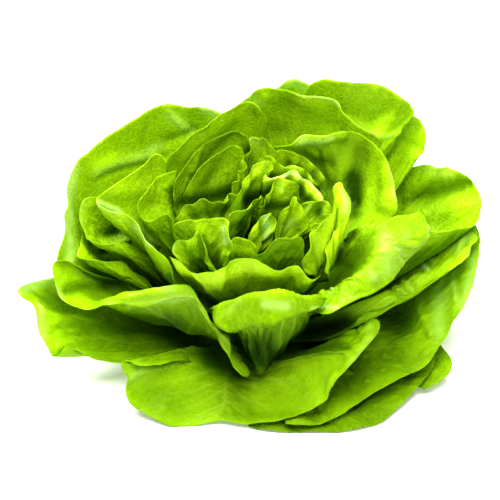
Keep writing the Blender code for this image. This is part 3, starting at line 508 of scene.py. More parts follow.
def clearance(Ps):
    """Room to the neighbouring leaves at each point of each working sheet, millimetres."""
    hi = np.full((N, NT, NR), -9.0)
    lo = np.full((N, NT, NR), 9.0)
    for i, P in enumerate(Ps):
        hi[i], lo[i] = raster(P)
    inner = np.full((N, NT, NR), -9.0)
    outer = np.full((N, NT, NR), 9.0)
    for i in range(N - 2, -1, -1):
        inner[i] = np.maximum(inner[i + 1], hi[i + 1])
    for i in range(1, N):
        outer[i] = np.minimum(outer[i - 1], lo[i - 1])
    out = []
    for i, P in enumerate(Ps):
        th, rho, psi = polar(P)
        jt = np.floor((th + math.pi) / (2 * math.pi) * NT).astype(int) % NT
        jr = np.clip((rho / DR).astype(int), 0, NR - 1)
        a = np.where(inner[i][jt, jr] < -5, 9.0, (psi - inner[i][jt, jr])) * rho
        b = np.where(outer[i][jt, jr] > 5, 9.0, (outer[i][jt, jr] - psi)) * rho
        a = blur(np.clip(a, 0.5, 12), 2)
        b = blur(np.clip(b, 0.5, 12), 2)
        out.append((a, b))
    return out


def drawn(P):
    """Where points lie on the drafting plane, in its squares."""
    gx = FOOT[0] + P[..., 0] / SQUARE
    gy = FOOT[1] - (P[..., 2] * math.cos(LEAN) + P[..., 1] * math.sin(LEAN)) / SQUARE
    return gx, gy


def stroke(gx, gy, pts, width):
    """1 along a drawn line, falling off smoothly to its sides."""
    best = np.full(gx.shape, 1e9)
    for (x0, y0), (x1, y1) in zip(pts[:-1], pts[1:]):
        dx, dy = x1 - x0, y1 - y0
        t = np.clip(((gx - x0) * dx + (gy - y0) * dy) / max(dx * dx + dy * dy, 1e-9), 0, 1)
        best = np.minimum(best, np.hypot(gx - x0 - t * dx, gy - y0 - t * dy))
    if len(pts) == 1:
        best = np.hypot(gx - pts[0][0], gy - pts[0][1])
    return np.exp(-(best / width) ** 2)


# folds: lines on the drafting plane, half width in squares, height in mm
# (above zero a ridge on the inner side, below zero a valley)
FOLDS = {
    "back_top": [([(264, 98), (263, 120), (262, 145)], 4, 1.8), ([(282, 112), (278, 132)], 11, -3.2), ([(305, 104), (318, 112)], 8, 1.0)],
    "back_right_inner": [([(287, 143), (303, 141), (320, 139), (345, 138)], 4.5, 2.2), ([(300, 158), (318, 166), (330, 168)], 7, -3.4),
        ([(318, 152), (325, 180)], 2.6, -2.0), ([(333, 150), (338, 178)], 6, 1.8), ([(357, 138), (360, 165), (353, 200)], 6.5, -4.2), ([(384, 140), (388, 170), (384, 205)], 8, 2.6)],
    "back_right_upper": [([(346, 118), (372, 134), (386, 137), (402, 132), (415, 118)], 2.2, 0.9), ([(330, 92), (360, 100)], 14, 1.4), ([(388, 112), (372, 124)], 7, -1.3)],
    "outer_back": [([(70, 110)], 5, 0.0)],
    "back_right": [([(392, 136), (420, 150)], 5, -1.2)],
    "right_back": [([(462, 205), (475, 222)], 9, -0.18), ([(400, 205), (430, 198), (466, 185)], 5.5, -3.6), ([(415, 185), (440, 176), (462, 172)], 9, 2.2), ([(430, 216), (470, 208)], 9, 1.8), ([(396, 165), (398, 205)], 5, -2.5)],
    "right": [([(412, 256), (426, 270)], 2.4, 1.6), ([(421, 250), (433, 262)], 2.4, 1.5), ([(417, 263), (424, 272)], 1.8, -1.2), ([(402, 270), (412, 287)], 2.2, -1.3), ([(394, 277), (404, 292)], 2.2, -1.3),
        ([(386, 283), (396, 298)], 2.2, -1.2), ([(465, 244), (450, 262), (430, 276), (402, 292)], 2.6, -1.5), ([(360, 318), (380, 305), (400, 295)], 3.5, 1.2), ([(440, 238), (462, 240)], 6, 1.4)],
    "right_mid": [([(385, 250)], 15, 2.4), ([(386, 242), (394, 250), (402, 257)], 2.2, -1.5), ([(389, 240), (397, 245)], 2.0, 1.0), ([(370, 277)], 4.5, 1.5), ([(356, 277)], 3.5, 1.1), ([(343, 285)], 4, 0.9),
        ([(405, 228), (418, 238)], 6, 1.3), ([(350, 300), (380, 290), (400, 272)], 3, 0.9), ([(362, 235), (352, 262)], 6, 1.0), ([(335, 262)], 8, -2.0)],
    "right_front": [([(420, 288), (420, 312), (430, 334)], 4.0, 3.2), ([(398, 320)], 17, -4.5), ([(452, 262), (455, 300), (449, 340)], 2.6, 1.3), ([(436, 275), (443, 310), (440, 335)], 3.5, -1.1), ([(466, 262), (466, 300)], 5, 1.0),
        ([(350, 405), (375, 400), (400, 380)], 8, 1.4)],
    "outer_front_right": [([(400, 380), (370, 396), (355, 408), (330, 419)], 2.6, 1.3), ([(360, 380)], 22, -1.5)],
    "front": [([(135, 372), (170, 362), (210, 357)], 5, 1.8), ([(140, 388), (190, 390)], 9, -2.0), ([(212, 386), (262, 386), (300, 366)], 11, 2.2), ([(225, 411), (292, 409)], 5, -1.7),
        ([(313, 362), (321, 381)], 2.6, 1.1), ([(322, 360), (330, 376)], 2.2, 1.0), ([(330, 364), (337, 377)], 2.0, 0.9), ([(318, 371), (324, 386)], 1.8, -0.9), ([(372, 322), (366, 338), (348, 360), (334, 378)], 4.0, 2.2), ([(353, 336), (338, 356)], 4.5, -1.8), ([(245, 392)], 5, 1.1)],
    "outer_left": [([(60, 346), (100, 338), (150, 335)], 3.5, 1.3), ([(108, 314), (140, 324)], 4, -1.5), ([(48, 292), (62, 303), (95, 313)], 3.0, -1.6), ([(60, 320), (100, 325)], 8, 1.6)],
    "left_front": [([(70, 292), (100, 289), (135, 282)], 6, -3.0), ([(130, 297), (160, 293), (188, 287)], 4.5, 1.8), ([(200, 318), (205, 345)], 8, 1.6), ([(222, 352), (226, 330)], 5, -1.6)],
    "left_mid": [([(104, 236), (128, 228)], 5, -2.4), ([(92, 240), (112, 247), (130, 240)], 2.5, 1.2)],
    "left_low": [([(105, 252), (130, 246)], 4, -2.0)],
    "left_inner": [([(120, 195), (150, 190)], 11, 1.6), ([(98, 203), (118, 211), (136, 226), (158, 246)], 2.6, 1.2), ([(158, 215), (172, 190)], 6, -2.2)],
    "left_inner_low": [([(155, 205)], 8, -1.5)],
    "back_left_inner": [([(252, 118), (250, 145)], 6, -2.0), ([(232, 118), (205, 140), (185, 158)], 8, 1.5)],
    "back_left_mid": [([(236, 138), (215, 155), (200, 180)], 5, -2.2), ([(200, 150), (192, 172)], 3.5, 1.4)],
    "back_inner": [([(226, 160), (208, 188)], 7, -2.0), ([(222, 158), (226, 172)], 3.0, 0.9)],
    "back_left": [([(168, 112), (178, 122), (188, 131)], 3, 0.8), ([(138, 128), (143, 150)], 3, 0.8), ([(95, 170), (120, 160), (150, 158)], 8, 1.8), ([(100, 178), (130, 166), (165, 158)], 3, -1.3), ([(168, 142), (195, 132)], 4, -2.2)],
    "front_mid": [([(245, 300), (285, 296)], 9, 1.0), ([(225, 322), (240, 327), (262, 324)], 3, -1.0), ([(280, 330)], 9, 1.6), ([(268, 352), (300, 326)], 3.5, -1.2), ([(250, 345), (262, 365)], 5, -1.2)],
    "heart_front": [([(205, 278), (235, 266)], 6, 1.4), ([(250, 285), (288, 288)], 8, 1.2), ([(222, 285), (226, 262)], 3.5, -1.4), ([(292, 266), (296, 285)], 3, -1.1)],
    "heart_back_right": [([(286, 166), (300, 176)], 3, 0.9), ([(262, 160), (258, 175)], 3, -1.1), ([(275, 160), (272, 172)], 3, 1.0)],
    "heart_back": [([(245, 185), (262, 166)], 4, 1.2), ([(268, 180), (290, 176), (306, 186), (326, 206)], 3, 1.2), ([(284, 188), (292, 200)], 4, -1.2)],
    "heart_frill": [([(250, 150), (256, 165)], 3.5, 1.3), ([(262, 146), (268, 160)], 3, -1.0), ([(300, 160), (310, 175)], 5, -1.2)],
    "heart_left": [([(198, 228), (210, 240)], 5, -1.6), ([(222, 224), (226, 250)], 3.5, 1.3)],
    "heart_left_curl": [([(190, 242), (185, 262)], 4, -1.5), ([(199, 236), (203, 262)], 2.5, 1.2)],
    "heart_right": [([(337, 186), (344, 214)], 3.5, 1.2), ([(322, 230), (316, 260)], 4.5, 1.2), ([(330, 226), (324, 250)], 2.2, -1.2)],
}
# painted sheen (above zero) and painted shade (below zero) along drawn lines: paler strokes where highlights fall,
# deeper green strokes in creases and gaps where shade falls
PAINTED_SHEEN_AND_SHADE = {
    "back_left": [([(74, 165), (70, 205), (71, 262)], 6, 0.42), ([(96, 172), (122, 162), (160, 146)], 6, 0.28), ([(170, 116), (192, 132)], 7, 0.30), ([(205, 110), (222, 116)], 7, 0.35)],
    "outer_back": [([(280, 84), (295, 80), (305, 88)], 7, 0.40)],
    "back_right_upper": [([(346, 118), (372, 134), (386, 137), (402, 132), (415, 118)], 2.4, 0.30), ([(424, 125), (428, 150)], 4, 0.25)],
    "back_top": [([(296, 95), (325, 99), (340, 106)], 2.6, 0.45), ([(232, 112), (248, 100), (258, 104)], 5, 0.35), ([(276, 132)], 10, -0.35)],
    "back_right_inner": [([(350, 178), (352, 212)], 9, -0.70), ([(318, 164), (330, 184)], 7, -0.60), ([(375, 150), (380, 205)], 12, -0.16), ([(345, 114), (330, 119), (312, 128), (300, 134)], 4, 0.50), ([(297, 143), (312, 141), (330, 138)], 4.5, 0.45), ([(392, 165), (395, 200)], 3, 0.35), ([(357, 150), (355, 200)], 8, -0.35), ([(305, 165)], 12, -0.30)],
    "right_back": [([(425, 168), (450, 172)], 8, 0.22), ([(400, 206), (430, 199), (462, 187)], 5, -0.30)],
    "right": [([(414, 258), (426, 269)], 3.0, 0.70), ([(422, 252), (432, 261)], 2.6, 0.50), ([(470, 235), (455, 250)], 5, 0.30), ([(310, 335), (345, 322)], 12, -0.9), ([(385, 285), (402, 296)], 7, -0.3)],
    "right_mid": [([(328, 256), (338, 238)], 6, -0.85), ([(352, 236), (358, 262), (345, 292)], 10, -0.18), ([(384, 240), (383, 270)], 8, 0.34), ([(392, 248), (402, 256)], 3, 0.40), ([(370, 277)], 5, 0.45), ([(356, 276)], 3.5, 0.4), ([(403, 238)], 7, 0.28), ([(335, 283), (330, 292)], 4, 0.35), ([(426, 224), (428, 240)], 3, 0.30), ([(335, 307), (312, 307)], 3, 0.5), ([(334, 264)], 8, -0.60)],
    "right_front": [([(440, 272), (438, 300), (436, 330)], 10, 0.36), ([(470, 232), (474, 270), (462, 305)], 6, 0.40), ([(453, 265), (455, 300)], 2, 0.4), ([(400, 318)], 20, -0.75), ([(310, 345), (350, 330)], 12, -0.9), ([(350, 385), (395, 352)], 18, -0.40)],
    "front": [([(160, 392), (200, 400)], 22, -0.14), ([(208, 358), (238, 372)], 12, -0.80), ([(290, 353), (345, 345)], 6, -0.6), ([(145, 400), (175, 410)], 18, -0.28), ([(225, 412), (290, 410)], 6, -0.25), ([(142, 366), (135, 378)], 7, 0.40), ([(255, 385)], 6, 0.25), ([(372, 320), (366, 338), (346, 362)], 3.5, 0.20)],
    "outer_front_right": [([(345, 392), (400, 352)], 20, -0.35)],
    "outer_left": [([(150, 308), (175, 330), (200, 350)], 13, -1.0), ([(130, 325)], 20, -0.35), ([(20, 290), (48, 276), (66, 270)], 7, 0.50), ([(40, 305), (46, 335)], 5, 0.35), ([(100, 345), (150, 350)], 9, -0.20)],
    "left_front": [([(185, 322)], 24, -0.22), ([(105, 284), (142, 280)], 8, -0.50), ([(95, 296), (150, 296)], 11, -0.20), ([(132, 315), (168, 320), (188, 342)], 10, -0.62), ([(232, 340), (240, 360)], 4, 0.15), ([(50, 285), (60, 297)], 7, 0.45), ([(175, 290), (160, 287)], 6, 0.30), ([(130, 304), (170, 299), (192, 297)], 2.4, 0.50), ([(82, 272), (96, 280)], 5, 0.25)],
    "left_inner": [([(170, 180), (174, 216)], 8, -0.60), ([(98, 203), (120, 212)], 4, 0.55), ([(136, 228), (152, 244)], 4, 0.50)],
    "left_mid": [([(110, 233), (128, 231)], 5, -0.70), ([(84, 200), (82, 225)], 3, 0.25)],
    "front_mid": [([(264, 348)], 20, -0.60), ([(265, 303), (285, 304)], 6, 0.55), ([(310, 307), (335, 306)], 2.6, 0.55), ([(240, 300), (225, 312)], 4, 0.25), ([(278, 333)], 5, 0.15), ([(236, 336), (250, 368)], 6, -0.95), ([(262, 352), (272, 366)], 11, -0.65), ([(312, 322), (284, 356)], 9, -0.95), ([(255, 334), (300, 330)], 9, -0.30)],
    "heart_front": [([(203, 280)], 9, 0.10)],
    "heart_back": [([(246, 200), (270, 190), (296, 190), (318, 208)], 7, -0.95), ([(270, 177), (280, 174), (292, 170)], 3.2, 0.60), ([(292, 172), (303, 180), (314, 186), (328, 204)], 2.8, 0.55)],
    "heart_right": [([(340, 190), (345, 203), (344, 213)], 3.6, 0.50), ([(318, 240), (312, 258)], 3, 0.15)],
    "heart_left": [([(224, 228), (226, 242)], 3.0, 0.75)],
    "heart_left_curl": [([(174, 246), (174, 256)], 2.5, 0.35)],
    "heart_inner_left": [([(266, 217), (267, 236)], 4.0, 0.75)],
    "heart_inner_right": [([(284, 226), (292, 222)], 5.0, 0.40)],
    "heart_frill": [([(240, 190), (258, 168)], 5, -0.60), ([(288, 164), (322, 184)], 6, -0.75), ([(254, 142), (262, 144)], 4.0, 0.25)],
    "back_inner": [([(186, 202), (215, 196), (244, 186)], 9, -0.90)],
    "back_left_mid": [([(178, 204), (200, 186), (250, 150)], 6, -0.70)],
    "left_inner_low": [([(172, 190), (178, 214)], 7, -0.75), ([(160, 230), (172, 240)], 8, -0.50)],
    "left_low": [([(105, 250), (130, 248)], 4, -0.80), ([(85, 262), (130, 262)], 3, -0.30)],
    "heart_back_right": [([(262, 180), (292, 176), (322, 192)], 7, -0.90)],
    "heart_left_back": [([(196, 214), (236, 208)], 6, -0.65)],
    "heart_core_left": [([(232, 226), (244, 224)], 6, -0.60)],
    "heart_curl": [([(318, 213)], 6, -0.95), ([(306, 216), (310, 204)], 2.5, 0.25)],
    "heart_front_left": [([(236, 258), (254, 260)], 5, -0.50)],
    "heart_front_right": [([(262, 264), (300, 262)], 6, -0.30), ([(270, 250), (292, 242)], 5, 0.18)],
    "heart_inner_back": [([(266, 206), (300, 204)], 7, -0.85), ([(280, 186), (286, 196)], 4, 0.20)],
}

# how each leaf differs from the ordinary: puckers, swells, rim waves; gain scales the strength of its green, raised on
# the back and heart leaves to paint the glow of light through them and lowered on the front leaves to paint shade,
# partly each leaf's own green, partly painted light and shade
LOOK = {
    "back_left": dict(blister=0.6, swell=0.8, gain=1.42),
    "back_right_upper": dict(blister=0.6, swell=1.0, gain=1.22),
    "outer_back": dict(blister=0.7, gain=1.30),
    "back_right": dict(blister=0.7),
    "back_top": dict(blister=0.7, swell=1.2, gain=1.08),
    "back_right_inner": dict(blister=0.7, swell=1.3),
    "right_back": dict(blister=0.9, swell=1.2),
    "right_mid": dict(blister=1.5, swell=1.0, cell=6.5, low=0.42, gain=0.90),
    "right": dict(blister=1.9, swell=1.0, cell=6.0, low=0.40),
    "right_front": dict(blister=2.4, swell=1.2, cell=6.0, low=0.34, gain=0.96),
    "outer_front_right": dict(blister=2.2, cell=6.0, low=0.3, gain=0.85),
    "front": dict(blister=2.2, swell=1.2, cell=6.0, low=0.36, gain=0.92),
    "front_mid": dict(blister=2.2, swell=1.0, cell=5.0, gain=0.92),
    "outer_left": dict(blister=1.4, swell=1.2, cell=7.0, low=0.34, gain=0.95),
    "left_front": dict(blister=0.9, swell=1.2, gain=0.92),
    "left_inner": dict(blister=0.7, swell=1.1, gain=1.15),
    "back_left_inner": dict(blister=0.9, gain=1.08),
    "heart_frill": dict(ruffle=2.0, wave=11.0),
    "heart_back": dict(ruffle=1.4, wave=13.0),
    "heart_front": dict(ruffle=0.8, wave=27.0, nick=0.4, blister=0.9, swell=1.1),
    "heart_left": dict(ruffle=1.2, wave=19.0, nick=0.7),
    "heart_left_curl": dict(ruffle=0.8, wave=19.0, nick=0.6),
    "heart_front_right": dict(ruffle=1.2, wave=19.0, nick=0.9),
    "heart_right": dict(ruffle=1.2, wave=16.0, nick=0.9),
}


def fine_leaf(i, G, room):
    name = LEAVES[i][0]
    opt = LEAVES[i][3]
    heart = name.startswith("heart")
    look = dict(blister=1.2 if heart else 1.5, swell=1.5 if heart else 1.1, ruffle=1.8 if heart else 1.0, cell=6.0 if heart else 8.0, wave=12.0 if heart else 30.0, nick=1.3 if heart else 0.4, low=0.16, gain=1.0)
    if heart:
        look["gain"] = 1.22
    look.update(LOOK.get(name, {}))
    nu, nv = (60, 48) if heart else (128, 84)
    rng = np.random.RandomState(1000 + i)
    P = refine(G, nu, nv)
    u = np.linspace(0, 1, nu + 1)[:, None] * np.ones((1, nv + 1))
    v = np.ones((nu + 1, 1)) * np.linspace(0, 1, nv + 1)[None, :]
    rin = refine(np.repeat(room[0][..., None], 3, 2), nu, nv)[..., 0]
    rout = refine(np.repeat(room[1][..., None], 3, 2), nu, nv)[..., 0]
    # the flat leaf
    step = np.linalg.norm(np.diff(P, axis=1), axis=-1)
    s = np.concatenate([np.zeros((nu + 1, 1)), np.cumsum(step, 1)], 1)
    L = float(s[:, -1].mean())
    W = float(np.linalg.norm(np.diff(P[:, -1], axis=0), axis=-1).sum())
    half = min(W / L, 2.8) / 2
    uc = opt.get("rib", 0.5)
    phi = (u - uc) * 2 * half
    r = s / np.maximum(s[:, -1:], 1e-6) * (0.5 * L + 0.5 * s[:, -1:])
    X, Y = r * np.sin(phi), r * np.cos(phi)
    segs = vein_lines(L, half * (1 + 2 * abs(uc - 0.5)), rng, heart)
    vein, near = vein_field(X, Y, segs)
    g = look["cell"]
    # puckers lie long ways along the side veins, which lean away from the rib
    lean = np.where(X > 0, 0.72, -0.72)
    A1 = X * np.cos(lean) - Y * np.sin(lean)
    A2 = (X * np.sin(lean) + Y * np.cos(lean)) / 1.7
    side = np.where(X > 0, 0.0, 500.0)
    pil, net = pillows(A1 + side, A2, 50 + i, g)
    pil2, net2 = pillows(X, Y, 90 + i, g * 0.42)
    away = 1 - np.exp(-(near / 3.2) ** 2)
    body = smooth(look["low"], look["low"] + 0.26, v) * (0.55 + 0.45 * smooth(0.0, 0.10, 1 - v))
    amp = look["blister"]
    disp = amp * body * away * pil + 0.22 * amp * body * away * pil2 - 0.45 * body * vein
    # broad swells and the wavy rim
    q = P / (14.0 if heart else 24.0)
    disp = disp + look["swell"] * 1.7 * body * fbm(q + i * 3.7, 7 + i, 2)
    gx, gy = drawn(P)
    for pts, width, height in FOLDS.get(name, ()):
        disp = disp + height * stroke(gx, gy, pts, width) * smooth(0.05, 0.25, v)
    # painted sheen and painted shade from the drawn strokes, kept for the material
    painted_sheen_shade = np.zeros_like(X)
    for pts, width, amount in PAINTED_SHEEN_AND_SHADE.get(name, ()):
        painted_sheen_shade = painted_sheen_shade + amount * stroke(gx, gy, pts, width)
    k = look["ruffle"]
    along = s[:, -1:] * 0 + np.concatenate([[0], np.cumsum(np.linalg.norm(np.diff(P[:, -1], axis=0), axis=-1))])[:, None]
    wave = np.sin(along / look["wave"] * 2 * math.pi + 2.5 * vnoise(np.stack([along / 21.0, along * 0 + i, along * 0], -1), i)) * (0.6 + 0.4 * vnoise(np.stack([along / 33.0, along * 0 + 5 + i, along * 0], -1), i + 3))
    wave2 = vnoise(np.stack([along / 5.0, along * 0 + 9 + i, along * 0], -1), i + 31)
    disp = disp + k * (1.3 * wave * smooth(0.60, 1.0, v) + 0.22 * wave2 * smooth(0.85, 1.0, v))
    limit_in = 0.62 * rin
    limit_out = 0.5 * rout
    disp = np.where(disp > 0, limit_in * np.tanh(disp / np.maximum(limit_in, 0.05)), limit_out * np.tanh(disp / np.maximum(limit_out, 0.05)))
    n = normals(P)
    if heart:
        n = np.stack([blur(n[..., c], 2) for c in range(3)], -1)
        n /= np.linalg.norm(n, axis=-1, keepdims=True)
    # small nicks along the rim
    dv = np.gradient(P, axis=1)
    dv /= np.maximum(np.linalg.norm(dv, axis=-1, keepdims=True), 1e-9)
    nick = (1.0 * vnoise(np.stack([along / 11.0, along * 0 + 2 + i, along * 0], -1), i + 61) + 0.3 * vnoise(np.stack([along / 3.4, along * 0 + 2 + i, along * 0], -1), i + 62)) * smooth(0.93, 1.0, v)
    P = P - n * disp[..., None] + dv * nick[..., None] * look["nick"]
    n = normals(P)
    # thickness: thin blade, thinner rim, fleshy rib low down
    ribw = 1.4 + 7.0 * (1 - v) ** 2.2
    rib = np.exp(-(X / ribw) ** 2) * (0.25 + 2.6 * (1 - v) ** 2.6) * (1 - smooth(0.8, 1.0, v))
    fine = 1 - 0.70 * smooth(0.88, 1.0, v)
    t = (0.48 + 0.27 * (1 - v) + 0.25 * vein) * fine
    rib = np.minimum(rib, 0.8 * rout + 0.15)
    top = P - n * (t / 2)[..., None]
    bot = P + n * (t / 2 + 0.45 * vein * body * fine + rib)[..., None]
    top[..., 2] = np.maximum(top[..., 2], 0.25)
    bot[..., 2] = np.maximum(bot[..., 2], 0.2)
    data = np.stack([np.clip(vein + 0.25 * net * body * away, 0, 1), np.clip(pil * away * body, 0, 1), v, np.full_like(v, rng.rand())], -1)
    plane = np.stack([X, Y, np.zeros_like(X) + i * 7.0], -1) * 0.001
    return top, bot, data, plane, np.stack([painted_sheen_shade, np.full_like(painted_sheen_shade, look["gain"])], -1)


def shell_mesh(name, top, bot, data, plane, painted_sheen_shade):
    a, b = top.shape[:2]
    K = a * b
    V = np.concatenate([top.reshape(-1, 3), bot.reshape(-1, 3)]) * 0.001
    idx = np.arange(K).reshape(a, b)
    p, q, s, t = idx[:-1, :-1].ravel(), idx[1:, :-1].ravel(), idx[1:, 1:].ravel(), idx[:-1, 1:].ravel()
    inner = np.stack([p, t, s, q], 1)
    outer = np.stack([p, q, s, t], 1) + K
    ring = np.concatenate([idx[:, 0], idx[-1, 1:], idx[-2::-1, -1], idx[0, -2:0:-1]])
    nx = np.roll(ring, -1)
    side = np.stack([ring, nx, nx + K, ring + K], 1)
    F = np.concatenate([inner, outer, side])
    me = bpy.data.meshes.new(name)
    me.vertices.add(len(V))
    me.vertices.foreach_set("co", V.ravel())
    me.loops.add(F.size)
    me.loops.foreach_set("vertex_index", F.ravel().astype(np.int32))
    me.polygons.add(len(F))
    me.polygons.foreach_set("loop_start", np.arange(0, F.size, 4, dtype=np.int32))
    me.polygons.foreach_set("loop_total", np.full(len(F), 4, dtype=np.int32))
    me.update(calc_edges=True)
    me.validate()
    at = me.attributes.new("leafdata", "FLOAT_COLOR", "POINT")
    at.data.foreach_set("color", np.concatenate([data.reshape(-1, 4)] * 2).astype(np.float32).ravel())
    at = me.attributes.new("plane", "FLOAT_VECTOR", "POINT")
    at.data.foreach_set("vector", np.concatenate([plane.reshape(-1, 3)] * 2).astype(np.float32).ravel())
    face = me.attributes.new("under", "FLOAT", "POINT")
    face.data.foreach_set("value", np.concatenate([np.zeros(K), np.ones(K)]).astype(np.float32))
    # painted sheen (above zero) and painted shade (below zero) from the drawn strokes; below, each leaf's gain
    at = me.attributes.new("painted_sheen_shade", "FLOAT", "POINT")
    at.data.foreach_set("value", np.clip(np.concatenate([painted_sheen_shade[..., 0].ravel()] * 2), -1, 1).astype(np.float32))
    at = me.attributes.new("gain", "FLOAT", "POINT")
    at.data.foreach_set("value", np.concatenate([painted_sheen_shade[..., 1].ravel()] * 2).astype(np.float32))
    # the cut edge of the blade has normals of its own
    even_faces = np.ones(len(F), dtype=bool)
    even_faces[-len(side):] = False
    me.polygons.foreach_set("use_smooth", even_faces)
    ob = bpy.data.objects.new(name, me)
    bpy.context.scene.collection.objects.link(ob)
    return ob


# ------------------------------------------------------------------ materials
def nodes_of(mat):
    mat.use_nodes = True
    nt = mat.node_tree
    nt.nodes.clear()
    return nt, nt.nodes.new, nt.links.new


def mix_colour(nt, fac, a, b, mode="MIX"):
    m = nt.nodes.new("ShaderNodeMix")
    m.data_type = "RGBA"
    m.blend_type = mode
    m.clamp_factor = True
    for sock, val in ((m.inputs[0], fac), (m.inputs[6], a), (m.inputs[7], b)):
        if hasattr(val, "is_output"):
            nt.links.new(val, sock)
        elif isinstance(val, (int, float)):
            sock.default_value = val
        else:
            sock.default_value = (*val, 1.0)
    return m.outputs[2]


def ramp(nt, src, lo, hi, out0=0.0, out1=1.0):
    m = nt.nodes.new("ShaderNodeMapRange")
    m.interpolation_type = "SMOOTHSTEP"
    nt.links.new(src, m.inputs[0])
    m.inputs[1].default_value = lo
    m.inputs[2].default_value = hi
    m.inputs[3].default_value = out0
    m.inputs[4].default_value = out1
    return m.outputs[0]


def calc(nt, op, a, b):
    m = nt.nodes.new("ShaderNodeMath")
    m.operation = op
    for k, val in enumerate((a, b)):
        if hasattr(val, "is_output"):
            nt.links.new(val, m.inputs[k])
        else:
            m.inputs[k].default_value = val
    return m.outputs[0]


